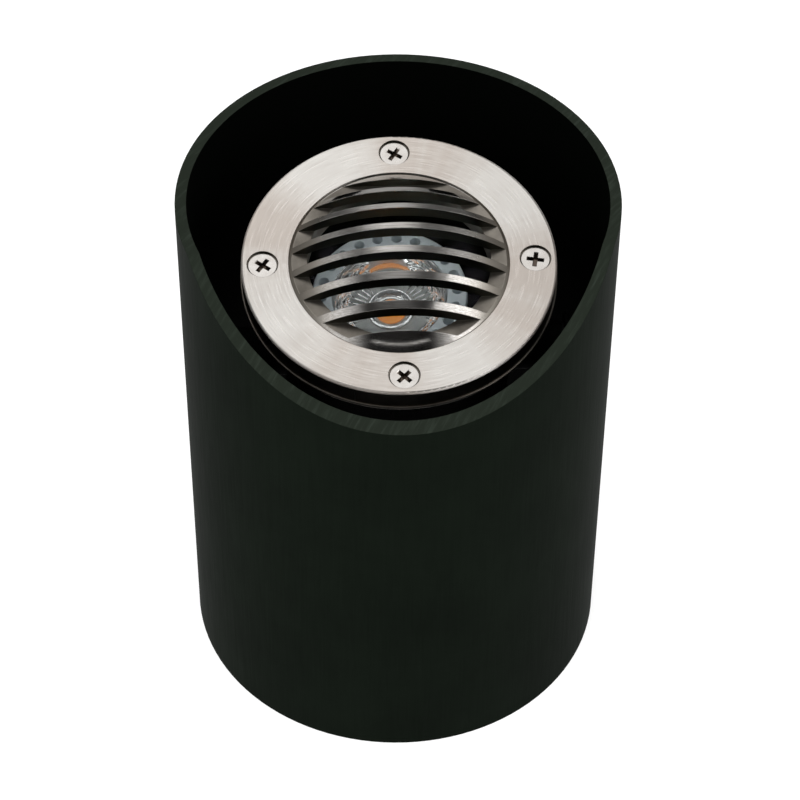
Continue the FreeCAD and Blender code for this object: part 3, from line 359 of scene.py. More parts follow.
@dataclass(frozen=True)
class SawnPipe(Finish):
    """Pipe plastic: die lines on its walls, painted shade that darkens the inside, saw strokes where it was cut.

    Attributes:
        bore_shade_colour: sRGB colour of the bore, darker than the outside as painted shade.
        cut_colour: sRGB colour of the cut faces.
        cut_shade: what that colour drifts to in the strokes.
        cut_facing: how far up a face looks where it starts to count as cut, and where it is one.
        saw_mm: spacing of the saw strokes.
        stroke_mm: length of a stroke.
        sweep_mm: how far down the slope a stroke keeps its place.
        saw_deg: which way the strokes run, about the pipe's axis.
        stroke_span: the part of the strokes' noise that shows.
        worn_mm: size of the places where strokes are worn away.
    """

    bore_shade_colour: str = "#030403"
    cut_colour: str = "#20251f"
    cut_shade: str = "#343b34"
    cut_facing: tuple[float, float] = (0.3, 0.5)
    saw_mm: float = 0.9
    stroke_mm: float = 9.0
    sweep_mm: float = 25.0
    saw_deg: float = 38.0
    stroke_span: tuple[float, float] = (0.5, 0.75)
    worn_mm: float = 22.2

    def skin(self, tree: Tree, place: Socket) -> Skin:
        """Outside, inside and cut faces, told apart by which way the surface faces.

        Args:
            tree: the material's nodes.
            place: object coordinates.

        Returns:
            The colour, height and roughness.
        """
        wall = Finish.skin(self, tree, place)
        facing = add_node(tree, "TexCoord", output="Normal")
        level = add_node(tree, "VectorMath", {0: place, 1: (1.0, 1.0, 0.0)}, operation="MULTIPLY")
        outward = add_node(tree, "VectorMath", {0: facing, 1: level}, output="Value", operation="DOT_PRODUCT")
        inner = add_node(tree, "Math", {0: outward, 1: 0.0}, operation="LESS_THAN")
        # The bore takes a darker colour than the outside: painted shade inside the pipe.
        shaded_bore = add_node(tree, "Mix", {0: inner, 6: wall.colour, 7: linear(self.bore_shade_colour)}, **COLOURS)
        sawn = add_node(tree, "MapRange", {
            "Value": add_node(tree, "SeparateXYZ", {0: facing}, output="Z"),
            "From Min": self.cut_facing[0],
            "From Max": self.cut_facing[1],
        })
        strokes = self.strokes(tree, place)
        shown = add_node(tree, "MapRange", {
            "Value": strokes,
            "From Min": self.stroke_span[0],
            "From Max": self.stroke_span[1],
        })
        worn = add_node(tree, "Math", {
            0: shown,
            1: self.noise(tree, place, (1.0 / (self.worn_mm * MM),) * 3),
        }, operation="MULTIPLY")
        cut = add_node(tree, "Mix", {
            0: worn,
            6: linear(self.cut_colour),
            7: linear(self.cut_shade),
        }, **COLOURS)
        colour = add_node(tree, "Mix", {0: sawn, 6: shaded_bore, 7: cut}, **COLOURS)
        height = add_node(tree, "Mix", {0: sawn, 2: wall.height, 3: strokes}, data_type="FLOAT")
        return Skin(colour, height, wall.roughness)

    def strokes(self, tree: Tree, place: Socket) -> Socket:
        """Saw strokes: noise that is long one way.

        Args:
            tree: the material's nodes.
            place: object coordinates.

        Returns:
            The noise.
        """
        turned = add_node(tree, "Mapping", {
            "Vector": place,
            "Rotation": (0.0, 0.0, math.radians(self.saw_deg)),
        })
        sizes = (self.saw_mm, self.stroke_mm, self.sweep_mm)
        return self.noise(tree, turned, tuple(1.0 / (size * MM) for size in sizes))


@dataclass(frozen=True)
class FacePlace:
    """Where a point of the face casting lies: some measures, and masks that are one where they hold.

    Attributes:
        own: place in the head's frame.
        turn: angle about the head's axis.
        radius: distance from that axis.
        way: direction away from it.
        dome: mask of the dome's ball.
        ring: mask of the ring with its edge and its skirt.
        rim: mask of the ring's rounded edge.
        skirt: mask of the skirt under that edge.
        dull: mask of the places to the sides that the polishing wheel didn't reach.
    """

    own: Socket
    turn: Socket
    radius: Socket
    way: Socket
    dome: Socket
    ring: Socket
    rim: Socket
    skirt: Socket
    dull: Socket


@dataclass(frozen=True)
class FaceMarks:
    """Noise on the face casting: turned circles, polishing streaks and the clouds of the raw cast."""

    circles: Socket
    streaks: Socket
    clouds: Socket


@dataclass(frozen=True)
class TurnedFace(Finish):
    """Face casting: the ring turned in fine circles under sectors of painted sheen, the dome polished, the slots
    left as cast and darkened in places by painted shade.

    Attributes:
        dome_colour: sRGB colour of the polished dome.
        dome_shade: what that drifts to along the polishing streaks.
        dome_rough: roughness of the dome, and how far it drifts.
        cast_and_shade_colour: sRGB colour of shelf, groove and screw seats: raw cast, darker partly as painted
            shade.
        cast_shade: what that drifts to.
        cast_rough: roughness of these, and how far it drifts.
        painted_shade_wall_colour: sRGB colour of the walls under the blades, darkened as painted shade.
        wall_shade_facing: how far forward a wall looks where the painted shade starts, and where it is full.
        streak_mm: length of a polishing streak, which runs along a blade.
        polish_mm: how far to each side the polishing wheel reached.
        polish_fade_mm: over what length the polish fades out there.
        dull_rough: roughness beyond that, and how far it drifts.
        mark_mm: length of a turning mark, at the middle of the ring.
        lobes: how many light sectors of painted sheen the ring has.
        lobe_deg: where the sectors start.
        lobe_depth: how strongly they differ.
        lobe_mm: size of the noise that loosens them, at the middle of the ring.
        opening_mm: radius of the ring's opening.
        edge_r_mm: radius at which the ring's rounded edge starts.
        rim_mm: how far down that edge goes; the skirt under it takes the darker cast colour as painted shade.
        rim_rough: roughness of that edge, which a file has broken.
        ring_mm: height of the ring's front above the pivot, along the head.
        crown_mm: height of the dome's top.
        dome_r_mm: radius of the dome's ball.
        slack_mm: how far off the ball, under the ring's front and inside its opening a point still counts.
    """

    dome_colour: str = "#c8c5c1"
    dome_shade: str = "#aba7a2"
    dome_rough: tuple[float, float] = (0.099, 0.03)
    cast_and_shade_colour: str = "#a9a298"
    cast_shade: str = "#7d776f"
    cast_rough: tuple[float, float] = (0.42, 0.06)
    painted_shade_wall_colour: str = "#484840"
    wall_shade_facing: tuple[float, float] = (0.7, 0.9)
    streak_mm: float = 18.0
    polish_mm: float = 20.0
    polish_fade_mm: float = 8.0
    dull_rough: tuple[float, float] = (0.4, 0.04)
    mark_mm: float = 10.56
    lobes: int = 4
    lobe_deg: float = -210.0
    lobe_depth: float = 0.14
    lobe_mm: float = 24.85
    opening_mm: float = 35.0
    edge_r_mm: float = 49.0
    rim_mm: float = 1.0
    rim_rough: float = 0.65
    ring_mm: float = 49.0
    crown_mm: float = 62.3
    dome_r_mm: float = 51.0
    slack_mm: tuple[float, float, float] = (0.12, 0.15, 0.2)

    @property
    def middle_mm(self) -> float:
        """Radius at the middle of the ring."""
        return (self.opening_mm + self.edge_r_mm) / 2.0

    def skin(self, tree: Tree, place: Socket) -> Skin:
        """Ring, dome and cast places, each with marks of its own.

        Args:
            tree: the material's nodes.
            place: object coordinates.

        Returns:
            The colour, height, roughness and smear.
        """
        at = self.locate(tree, place)
        pitch = 1.0 / (self.grain_mm * MM)
        marks = FaceMarks(
            circles=self.circles(tree, at),
            streaks=self.noise(tree, at.own, (1.0 / (self.streak_mm * MM), pitch, pitch)),
            clouds=self.noise(tree, at.own, (1.0 / (self.patch_mm * MM),) * 3),
        )
        height = add_node(tree, "Mix", {0: at.ring, 2: marks.streaks, 3: marks.circles}, data_type="FLOAT")
        return Skin(self.tint(tree, at, marks), height, self.gloss(tree, at, marks), self.smear_way(tree, at))

    def locate(self, tree: Tree, place: Socket) -> FacePlace:
        """Tell the face's places apart by radius, height and distance from the dome's middle.

        Args:
            tree: the material's nodes.
            place: object coordinates.

        Returns:
            The measures and masks.
        """
        off_ball, off_front, off_opening = (slack * MM for slack in self.slack_mm)
        own = add_node(tree, "Mapping", {
            "Vector": place,
            "Location": tuple(HEAD.origin),
            "Rotation": (HEAD.lean, 0.0, 0.0),
        }, vector_type="TEXTURE")
        across, along, height = add_node(tree, "SeparateXYZ", {0: own}).node.outputs
        flat = add_node(tree, "VectorMath", {0: own, 1: (1.0, 1.0, 0.0)}, operation="MULTIPLY")
        radius = add_node(tree, "VectorMath", {0: flat}, output="Value", operation="LENGTH")
        heart = (0.0, 0.0, (self.crown_mm - self.dome_r_mm) * MM)
        reach = add_node(tree, "VectorMath", {0: own, 1: heart}, output="Value", operation="DISTANCE")
        on_ball = add_node(tree, "Math", {0: reach, 1: self.dome_r_mm * MM, 2: off_ball}, operation="COMPARE")
        within = add_node(tree, "Math", {0: radius, 1: self.opening_mm * MM}, operation="LESS_THAN")
        front = self.ring_mm * MM
        at_front = add_node(tree, "Math", {0: height, 1: front - off_front}, operation="GREATER_THAN")
        inner = self.opening_mm * MM - off_opening
        outer = add_node(tree, "Math", {0: radius, 1: inner}, operation="GREATER_THAN")
        flat_ring = add_node(tree, "Math", {0: at_front, 1: outer}, operation="MULTIPLY")
        edge = add_node(tree, "Math", {0: radius, 1: self.edge_r_mm * MM}, operation="GREATER_THAN")
        low = add_node(tree, "Math", {0: height, 1: front - self.rim_mm * MM}, operation="LESS_THAN")
        skirt = add_node(tree, "Math", {0: edge, 1: low}, operation="MULTIPLY")
        return FacePlace(
            own=own,
            turn=add_node(tree, "Math", {0: along, 1: across}, operation="ARCTAN2"),
            radius=radius,
            way=add_node(tree, "VectorMath", {0: flat}, operation="NORMALIZE"),
            dome=add_node(tree, "Math", {0: on_ball, 1: within}, operation="MULTIPLY"),
            ring=add_node(tree, "Math", {0: flat_ring, 1: edge}, operation="MAXIMUM"),
            rim=add_node(tree, "Math", {0: edge, 1: skirt}, operation="SUBTRACT"),
            skirt=skirt,
            dull=add_node(tree, "MapRange", {
                "Value": add_node(tree, "Math", {0: across}, operation="ABSOLUTE"),
                "From Min": self.polish_mm * MM,
                "From Max": (self.polish_mm + self.polish_fade_mm) * MM,
            }),
        )

    def tint(self, tree: Tree, at: FacePlace, marks: FaceMarks) -> Socket:
        """Colours: warm grey sectors of painted sheen on the ring, streaks on the dome, painted shade on the walls
        under the blades.

        Args:
            tree: the material's nodes.
            at: measures and masks.
            marks: the noise.

        Returns:
            The colour.
        """
        # The ring's light and dark sectors are painted sheen.
        brushed_and_sheen = self.between(tree, self.sectors(tree, at), marks.circles, self.colour, self.shade)
        bright = self.between(tree, marks.streaks, marks.streaks, self.dome_colour, self.dome_shade)
        # Shelf, groove and screw seats take the cast colour: raw cast, darker partly as painted shade in these
        # recesses.
        pale = self.between(tree, marks.clouds, marks.clouds, self.cast_and_shade_colour, self.cast_shade)
        # Painted shade: walls that face forward under the blades are darkened.
        forward = add_node(tree, "VectorMath", {
            0: add_node(tree, "TexCoord", output="Normal"),
            1: tuple(-HEAD.along),
        }, output="Value", operation="DOT_PRODUCT")
        wall_shade = add_node(tree, "MapRange", {
            "Value": forward,
            "From Min": self.wall_shade_facing[0],
            "From Max": self.wall_shade_facing[1],
        })
        cast = add_node(tree, "Mix", {0: wall_shade, 6: pale, 7: linear(self.painted_shade_wall_colour)}, **COLOURS)
        # The skirt under the ring's edge takes the darker cast colour: painted shade that dims its highlight.
        turned = add_node(tree, "Mix", {0: at.skirt, 6: brushed_and_sheen, 7: pale}, **COLOURS)
        polished = add_node(tree, "Mix", {0: at.dull, 6: bright, 7: linear(self.cast_and_shade_colour)}, **COLOURS)
        flat = add_node(tree, "Mix", {0: at.ring, 6: cast, 7: turned}, **COLOURS)
        return add_node(tree, "Mix", {0: at.dome, 6: flat, 7: polished}, **COLOURS)

    def gloss(self, tree: Tree, at: FacePlace, marks: FaceMarks) -> Socket:
        """Roughness: satin on the ring, near mirror on the dome, dull where it is cast or unpolished.

        Args:
            tree: the material's nodes.
            at: measures and masks.
            marks: the noise.

        Returns:
            The roughness.
        """
        ring = add_node(tree, "Mix", {
            0: at.rim,
            2: self.drift(tree, marks.circles, self.roughness, self.spread),
            3: self.rim_rough,
        }, data_type="FLOAT")
        flat = add_node(tree, "Mix", {
            0: at.ring,
            2: self.drift(tree, marks.clouds, *self.cast_rough),
            3: ring,
        }, data_type="FLOAT")
        ball = add_node(tree, "Mix", {
            0: at.dull,
            2: self.drift(tree, marks.streaks, *self.dome_rough),
            3: self.drift(tree, marks.streaks, *self.dull_rough),
        }, data_type="FLOAT")
        return add_node(tree, "Mix", {0: at.dome, 2: flat, 3: ball}, data_type="FLOAT")

    def smear_way(self, tree: Tree, at: FacePlace) -> Socket:
        """Mirrored light is smeared away from the axis on the ring, and along the blades on the dome.

        Args:
            tree: the material's nodes.
            at: measures and masks.

        Returns:
            The direction, in the world's frame.
        """
        own = add_node(tree, "Mix", {0: at.ring, 4: (1.0, 0.0, 0.0), 5: at.way}, output=1, data_type="VECTOR")
        leant = add_node(tree, "Mapping", {
            "Vector": own,
            "Rotation": (HEAD.lean, 0.0, 0.0),
        }, vector_type="VECTOR")
        return add_node(tree, "VectorTransform", {0: leant}, vector_type="VECTOR",
                        convert_from="OBJECT", convert_to="WORLD")

    def sectors(self, tree: Tree, at: FacePlace) -> Socket:
        """Painted sheen: light and dark sectors that stand in for the turned ring's mirrored light, lobes of a
        sine loosened by noise.

        Args:
            tree: the material's nodes.
            at: measures and masks.

        Returns:
            A value near a half that drifts either way.
        """
        phase = add_node(tree, "Math", {
            0: at.turn,
            1: float(self.lobes),
            2: math.radians(self.lobe_deg),
        }, operation="MULTIPLY_ADD")
        wave = add_node(tree, "Math", {0: phase}, operation="SINE")
        loose = self.noise(tree, at.way, (self.middle_mm / self.lobe_mm,) * 3)
        return add_node(tree, "Math", {0: wave, 1: self.lobe_depth, 2: loose}, operation="MULTIPLY_ADD")

    def circles(self, tree: Tree, at: FacePlace) -> Socket:
        """Fine turning marks: noise counted in radius, and slowly in the turn about the axis."""
        both = add_node(tree, "CombineXYZ", {"X": at.radius, "Y": at.turn})
        return self.noise(tree, both, (1.0 / (self.grain_mm * MM), self.middle_mm / self.mark_mm, 1.0))


@dataclass(frozen=True)
class SunkScrew(Finish):
    """Screw metal that is bright on top, with painted shade in the cross recess and the seat.

    Attributes:
        recess_shade_colour: sRGB colour of the recess and seat, darkened as painted shade.
        top_mm: height of the heads' top above the pivot, along the head.
        brink_mm: depth under that top at which the painted shade starts.
        dark_mm: depth at which it is full.
    """

    recess_shade_colour: str = "#62584f"
    top_mm: float = 48.2
    brink_mm: float = 0.12
    dark_mm: float = 0.35

    def skin(self, tree: Tree, place: Socket) -> Skin:
        """Whatever lies under the heads' top is in the recess or the seat, and is darkened as painted shade.

        Args:
            tree: the material's nodes.
            place: object coordinates.

        Returns:
            The colour, height and roughness.
        """
        plain = Finish.skin(self, tree, place)
        rise = add_node(tree, "VectorMath", {0: place, 1: tuple(HEAD.out)}, output="Value",
                        operation="DOT_PRODUCT")
        top = float(HEAD.origin @ HEAD.out) + self.top_mm * MM
        # Painted shade: darker with depth under the heads' top.
        sunk = add_node(tree, "MapRange", {
            "Value": rise,
            "From Min": top - self.brink_mm * MM,
            "From Max": top - self.dark_mm * MM,
        })
        colour = add_node(tree, "Mix", {0: sunk, 6: plain.colour, 7: linear(self.recess_shade_colour)}, **COLOURS)
        return Skin(colour, plain.height, plain.roughness)


# Extruded pipe plastic: a green black, satin, with faint die lines down its length; its bore is drawn darker as
# painted shade.
PIPE_PLASTIC = SawnPipe("pvc_extruded_black", "#121812", "#0e130e", 0.6, specular=0.012,
                        patch_mm=40.0, grain_mm=0.7, depth_mm=0.006, lay=Lay.DOWN_THE_PIPE, edge_mm=0.35)
# Stainless screws, tumbled bright: nearly white, softly mirrored.
SCREW_STEEL = Finish("stainless_steel_tumbled", "#ece8e3", "#dcd6d0", 0.24, metallic=1.0,
                     patch_mm=3.0, grain_mm=0.25, depth_mm=0.004, edge_mm=0.15)
# Steel with black zinc: dark, with a dull gleam.
DARK_STEEL = Finish("steel_black_zinc", "#161718", "#101112", 0.42, 0.08, metallic=1.0,
                    patch_mm=3.0, grain_mm=0.3, depth_mm=0.006, edge_mm=0.15)
# Steel strap under black powder coat: fine orange peel.
COATED_STEEL = Finish("steel_powder_coated_black", "#070707", "#040404", 0.55, 0.06, specular=0.04,
                      patch_mm=9.0, grain_mm=0.9, depth_mm=0.015, edge_mm=0.3)
# Cast aluminium under matt black powder coat: near black, even at a glance.
CAST_HOUSING = Finish("aluminium_cast_powder_coated_black", "#070908", "#040605", 0.65, 0.06, specular=0.02,
                      grain_mm=0.8, depth_mm=0.012, edge_mm=0.3)
# Moulded nylon: black and dull, faintly grained.
NYLON = Finish("nylon_moulded_black", "#0b0c0c", "#070808", 0.52, 0.06, ior=1.53, specular=0.15,
               patch_mm=6.0, grain_mm=0.35, edge_mm=0.25)
# Seal rubber: matt, dusty black.
SEAL_RUBBER = Finish("epdm_rubber_moulded", "#121212", "#1b1b1a", 0.8, 0.08, specular=0.2,
                     patch_mm=5.0, grain_mm=0.4, depth_mm=0.02)
# Toughened flat glass with a coat against glare: clear, faintly smeared, hardly mirrors.
FLAT_GLASS = Finish("soda_lime_glass_toughened", "#fdfefe", "#f6faf9", 0.02, 0.015, ior=1.52, glare="#332c40",
                    patch_mm=18.0, grain_mm=4.0, depth_mm=0.0005, edge_mm=0.3, clear=1.0)
# Moulded acrylic lens: water clear.
ACRYLIC = Finish("acrylic_moulded_clear", "#ffffff", "#f6f8fa", 0.02, 0.015, ior=1.49,
                 patch_mm=6.0, grain_mm=1.5, depth_mm=0.002, edge_mm=0.1, clear=1.0)
# Lamp body: cast aluminium under a cool pale lacquer.
LAMP_METAL = Finish("aluminium_lacquered_pale", "#e9f0f4", "#dbe3e8", 0.4,
                    patch_mm=8.0, grain_mm=0.4, depth_mm=0.006, edge_mm=0.3)
# Phosphor in silicone over the diodes: amber and waxy; its glow is painted light, as the lamp is unlit.
PHOSPHOR = Finish("silicone_phosphor_amber", "#ff9c24", "#f78c12", 0.4, ior=1.41,
                  patch_mm=2.0, grain_mm=0.2, edge_mm=0.1, glow=0.3)
# Circuit board under white solder mask.
SOLDER_MASK = Finish("solder_mask_white", "#e6e6e2", "#d9dad6", 0.35,
                     patch_mm=4.0, grain_mm=0.3, depth_mm=0.005, edge_mm=0.1)
# Moulded white plastic of the lamp base and terminal block.
WHITE_PLASTIC = Finish("pbt_moulded_white", "#dedbd4", "#d0ccc3", 0.4, ior=1.55,
                       patch_mm=8.0, grain_mm=0.4, depth_mm=0.008, edge_mm=0.25)
# Steatite lamp holder: fired, unglazed.
STEATITE = Finish("steatite_fired", "#ddd8cc", "#cfc8b9", 0.62, 0.08, ior=1.6,
                  patch_mm=5.0, grain_mm=0.3, depth_mm=0.02, edge_mm=0.3)
# Nickel on brass: pale warm mirror.
NICKEL = Finish("brass_nickel_plated", "#c9c2b4", "#b9b1a1", 0.25, 0.06, metallic=1.0,
                patch_mm=2.0, grain_mm=0.2, depth_mm=0.003, edge_mm=0.1)
# Steel strap, bright zinc: cool, spangled grey.
ZINC_STEEL = Finish("steel_zinc_plated", "#bfc3c6", "#aeb4ba", 0.33, 0.08, metallic=1.0,
                    patch_mm=4.0, grain_mm=0.5, depth_mm=0.006)
# Heat-proof silicone over the leads: dull brick red.
LEAD_COVER = Finish("silicone_extruded_red", "#a23a2c", "#8d2f23", 0.5, ior=1.41,
                    patch_mm=3.0, grain_mm=0.3, edge_mm=0.1)


def dress(body: Body, finishes: dict[str, Finish]) -> None:
    """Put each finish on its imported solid.

    Args:
        body: the body that the solids move with.
        finishes: node name to finish.
    """
    for node, finish in finishes.items():
        for slot in frame["nodes"][node].material_slots:
            slot.material = finish.build()
        LOG.info("%s: %s in %s", body.value, node, finish.name)


@dataclass(frozen=True)
class PipeSleeve:
    """The sawn pipe and the yoke that is screwed into it."""

    plastic: SawnPipe = PIPE_PLASTIC

    def build(self) -> None:
        """Dress the sleeve, the yoke and its screws."""
        dress(Body.SLEEVE, {
            "sleeve": self.plastic,
            "yoke": COATED_STEEL,
            "yoke_screws": DARK_STEEL,
            "yoke_nuts": DARK_STEEL,
        })


@dataclass(frozen=True)
class TiltPivots:
    """Shoulder screws, plastic washers and dished springs that the head tilts on."""

    steel: Finish = DARK_STEEL

    def build(self) -> None:
        """Dress the pivots."""
        dress(Body.HEAD, {
            "pivot_screws": self.steel,
            "pivot_washers": NYLON,
            "pivot_springs": self.steel,
        })


@dataclass(frozen=True)
class LouvredFace:
    """Ring and slotted dome, its screws, seals and glass, and the cup they close.

    Attributes:
        opening_mm: radius of the ring's opening.
        groove_mm: width of the groove round the dome.
        margin_mm: how far outside the opening the ring's height is read.
        edge_mm: how far in from the ring's outside its rounded edge starts.
    """

    opening_mm: float = 35.0
    groove_mm: float = 0.6
    margin_mm: float = 1.0
    edge_mm: float = 0.9

    def steel(self) -> TurnedFace:
        """Fit the face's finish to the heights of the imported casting.

        The dome's ball has a radius of half its rise plus half the squared springing radius over the rise.

        Returns:
            The finish.
        """
        radius, height = HEAD.inside(node_points("face_grille"))
        ring = float(height[radius > (self.opening_mm + self.margin_mm) * MM].max()) / MM
        crown = float(height.max()) / MM
        rise = crown - ring
        ball = ((self.opening_mm - self.groove_mm) ** 2 + rise ** 2) / (2.0 * rise)
        # Stainless steel, turned and satin brushed: warm grey, with fine rings, and light and dark sectors of
        # painted sheen.
        # Turning marks of about 0.1 mm would be too fine to show, so they are drawn at 0.45 mm.
        return TurnedFace("stainless_steel_satin_turned", "#f1ede7", "#dad0c7", 0.3, metallic=1.0,
                          patch_mm=22.0, grain_mm=0.45, depth_mm=0.003, smear=0.75,
                          opening_mm=self.opening_mm, edge_r_mm=float(radius.max()) / MM - self.edge_mm,
                          ring_mm=ring, crown_mm=crown, dome_r_mm=ball)

    def screws(self) -> SunkScrew:
        """Fit the screws' finish to the height of their heads."""
        _, height = HEAD.inside(node_points("face_screws"))
        # Stainless screws, tumbled bright, with painted shade in the recess: nearly white with a dark cross.
        return SunkScrew("stainless_steel_tumbled_sunk", "#ece8e3", "#dcd6d0", 0.26, metallic=1.0,
                         patch_mm=3.0, grain_mm=0.25, depth_mm=0.004, edge_mm=0.15,
                         top_mm=float(height.max()) / MM)

    def build(self) -> None:
        """Dress the face and the cup."""
        dress(Body.HEAD, {
            "face_grille": self.steel(),
            "face_screws": self.screws(),
            "face_gasket": SEAL_RUBBER,
            "lens": FLAT_GLASS,
            "lens_seal": SEAL_RUBBER,
            "housing": CAST_HOUSING,
        })


@dataclass(frozen=True)
class ReflectorLamp:
    """The lamp: a vented metal cup round a clear lens over a phosphor disc.

    Attributes:
        flange_mm: height of the lens's flange.
        shoulder_mm: step in under the flange.
        foot_mm: radius of the lens's narrow end.
        well_mm: radius of the hollow over the phosphor.
        well_rise_mm: height of that hollow.
        well_wall: share of that height that stands straight.
        bend: power of the curve of the lens's side; one is a cone.
        ripple_mm: depth of the ripples in the side.
        ripples: how many go round the steep upper wall.
        ribs: how many straight ones go round the shallow bowl at the foot.
        bowl: share of the height that the bowl takes up; the ripples take over within as much again.
        brim: share of the height above which the side is plain.
        twist: how far the ripples wander on their way down, in radians.
        wander: phase of that wandering over the whole height, in radians.
        calm: squared cosine of the turn up to which the side is plain, at the front and the back.
        near: sine of the turn up to which it is plain, on the near side.
        fade: over how much more of either the ripples come in.
        step_mm: spacing of the rings of points along the profile.
        steps: points in a ring.
        side_points: corners in the profile of the side.
        roof_points: corners in the profile of the hollow's roof.
        sharp_deg: angle over which an edge stays sharp.
    """

    flange_mm: float = 1.5
    shoulder_mm: float = 0.6
    foot_mm: float = 8.5
    well_mm: float = 7.7
    well_rise_mm: float = 6.2
    well_wall: float = 0.1
    bend: float = 0.262
    ripple_mm: float = 0.55
    ripples: int = 18
    ribs: int = 40
    bowl: float = 0.15
    brim: float = 0.995
    twist: float = 2.5
    wander: float = 12.0
    calm: float = 0.12
    near: float = -0.5
    fade: float = 0.4
    step_mm: float = 0.4
    steps: int = 360
    side_points: int = 48
    roof_points: int = 20
    sharp_deg: float = 35.0

    def build(self) -> None:
        """Dress the lamp and put the rippled lens in place of the plain one."""
        dress(Body.HEAD, {
            "lamp_heat_sink": LAMP_METAL,
            "lamp_optic": ACRYLIC,
            "lamp_led": PHOSPHOR,
            "lamp_board": SOLDER_MASK,
            "lamp_base": WHITE_PLASTIC,
            "lamp_pins": NICKEL,
        })
        lens = bpy.data.objects.new("lamp_rippled_lens", self.lens_mesh())
        bpy.context.scene.collection.objects.link(lens)
        lens.data.materials.append(ACRYLIC.build())
        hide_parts("lamp_optic")
        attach(lens, Body.HEAD.value)
        LOG.info("%s: %s in %s", Body.HEAD.value, lens.name, ACRYLIC.name)

    def profile(self, radius: float, low: float, high: float) -> np.ndarray:
        """Half section of the lens, from the middle of its front round to the top of its hollow.

        The side runs in from the shoulder to the foot as a power of the height that is left. The
        hollow's roof is a quarter of a sine wave.

        Args:
            radius: of the flange, in metres.
            low: height of the foot.
            high: height of the front.

        Returns:
            Radius and height of each corner.
        """
        flange = high - self.flange_mm * MM
        share = np.linspace(0.0, 1.0, self.side_points)
        shoulder, foot = radius - self.shoulder_mm * MM, self.foot_mm * MM
        side = np.stack([foot + (shoulder - foot) * (1.0 - share) ** self.bend,
                         flange + (low - flange) * share], axis=-1)
        well, rise = self.well_mm * MM, self.well_rise_mm * MM
        quarter = np.linspace(0.0, np.pi / 2.0, self.roof_points)
        lift = self.well_wall + (1.0 - self.well_wall) * np.sin(quarter)
        roof = np.stack([well * np.cos(quarter), low + rise * lift], axis=-1)
        front = np.array([(0.0, high), (radius, high), (radius, flange)])
        return np.concatenate([front, side, [(well, low)], roof])

    def lens_mesh(self) -> bpy.types.Mesh:
        """Turn the profile about the lamp's axis, with ripples sunk in along the surface's normal.

        The first and last corner of the profile lie on the axis and are single points.

        Returns:
            The mesh, in the part's own frame.
        """
        axes = Axes.of_lamp()
        reach, height = axes.inside(node_points("lamp_optic"))
        low, high = float(height.min()), float(height.max())
        corners = self.profile(float(reach.max()), low, high)
        run = np.concatenate([[0.0], np.cumsum(np.hypot(*np.diff(corners, axis=0).T))])
        at = np.unique(np.concatenate([run, np.arange(0.0, run[-1], self.step_mm * MM)]))
        far, tall = (np.interp(at, run, corners[:, column])[1:-1, None] for column in (0, 1))
        turn = np.linspace(0.0, 2.0 * np.pi, self.steps, endpoint=False)[None, :]
        share = np.clip((tall - low) / (high - self.flange_mm * MM - low), 0.0, 1.0)
        on_side = (share < self.brim) & (far > self.foot_mm * MM)
        sink = on_side * self.ripple_depth(share, turn)
        out_slope, up_slope = (np.gradient(line, at[1:-1], axis=0) for line in (far, tall))
        steep = np.hypot(out_slope, up_slope)
        far, tall = far + sink * up_slope / steep, tall - sink * out_slope / steep
        rings = np.stack([far * np.cos(turn), far * np.sin(turn), tall], axis=-1)
        ends = np.array([(0.0, 0.0, corners[0, 1]), (0.0, 0.0, corners[-1, 1])])
        points = axes.outside(np.concatenate([rings.reshape(-1, 3), ends]))
        return self.closed_mesh(points, rings.shape[0])

    def ripple_depth(self, share: np.ndarray, turn: np.ndarray) -> np.ndarray:
        """How deep the ripples and ribs are.

        A ripple is a cosine of the turn, and its phase wanders as a sine of the height. A rib is a plain
        cosine. Both are left out towards the front and the back, and on the near side.

        Args:
            share: share of the side's height, one row for each ring.
            turn: angle about the axis, one column for each point of a ring.

        Returns:
            The depths, in metres.
        """
        wall = np.clip(share / self.bowl - 1.0, 0.0, 1.0)
        ripple = np.cos(self.ripples * turn + self.twist * np.sin(share * self.wander))
        wave = wall * ripple + (1.0 - wall) * np.cos(self.ribs * turn)
        beside = np.clip((np.cos(turn) ** 2 - self.calm) / self.fade, 0.0, 1.0)
        beyond = np.clip((np.sin(turn) - self.near) / self.fade, 0.0, 1.0)
        return beside * beyond * self.ripple_mm * MM * (1.0 - wave) / 2.0

    def closed_mesh(self, points: np.ndarray, rings: int) -> bpy.types.Mesh:
        """Join rings of points by four-sided faces, and close both ends with fans.

        Args:
            points: the rings, then the first and last point on the axis.
            rings: how many rings there are.

        Returns:
            The mesh, smooth but for its sharp edges.
        """
        index = np.arange(rings * self.steps).reshape(rings, self.steps)
        after = np.roll(index, -1, axis=1)
        quads = np.stack([index[:-1], index[1:], after[1:], after[:-1]], axis=-1).reshape(-1, 4)
        first, last = rings * self.steps, rings * self.steps + 1
        front = np.stack([np.full(self.steps, first), index[0], after[0]], axis=-1)
        back = np.stack([np.full(self.steps, last), after[-1], index[-1]], axis=-1)
        mesh = bpy.data.meshes.new("lamp_rippled_lens")
        mesh.from_pydata(points.tolist(), [], quads.tolist() + front.tolist() + back.tolist())
        mesh.polygons.foreach_set("use_smooth", np.ones(len(mesh.polygons), dtype=bool))
        mesh.set_sharp_from_angle(angle=math.radians(self.sharp_deg))
        return mesh


@dataclass(frozen=True)
class HolderAndWiring:
    """What carries and feeds the lamp inside the cup."""

    strap: Finish = ZINC_STEEL

    def build(self) -> None:
        """Dress the holder, its strap, the terminal block and the leads."""
        dress(Body.HEAD, {
            "lamp_socket": STEATITE,
            "socket_screws": SCREW_STEEL,
            "socket_bracket": self.strap,
            "terminal_block": WHITE_PLASTIC,
            "terminal_screws": NICKEL,
            "lead_wires": LEAD_COVER,
            "floor_screws": SCREW_STEEL,
        })


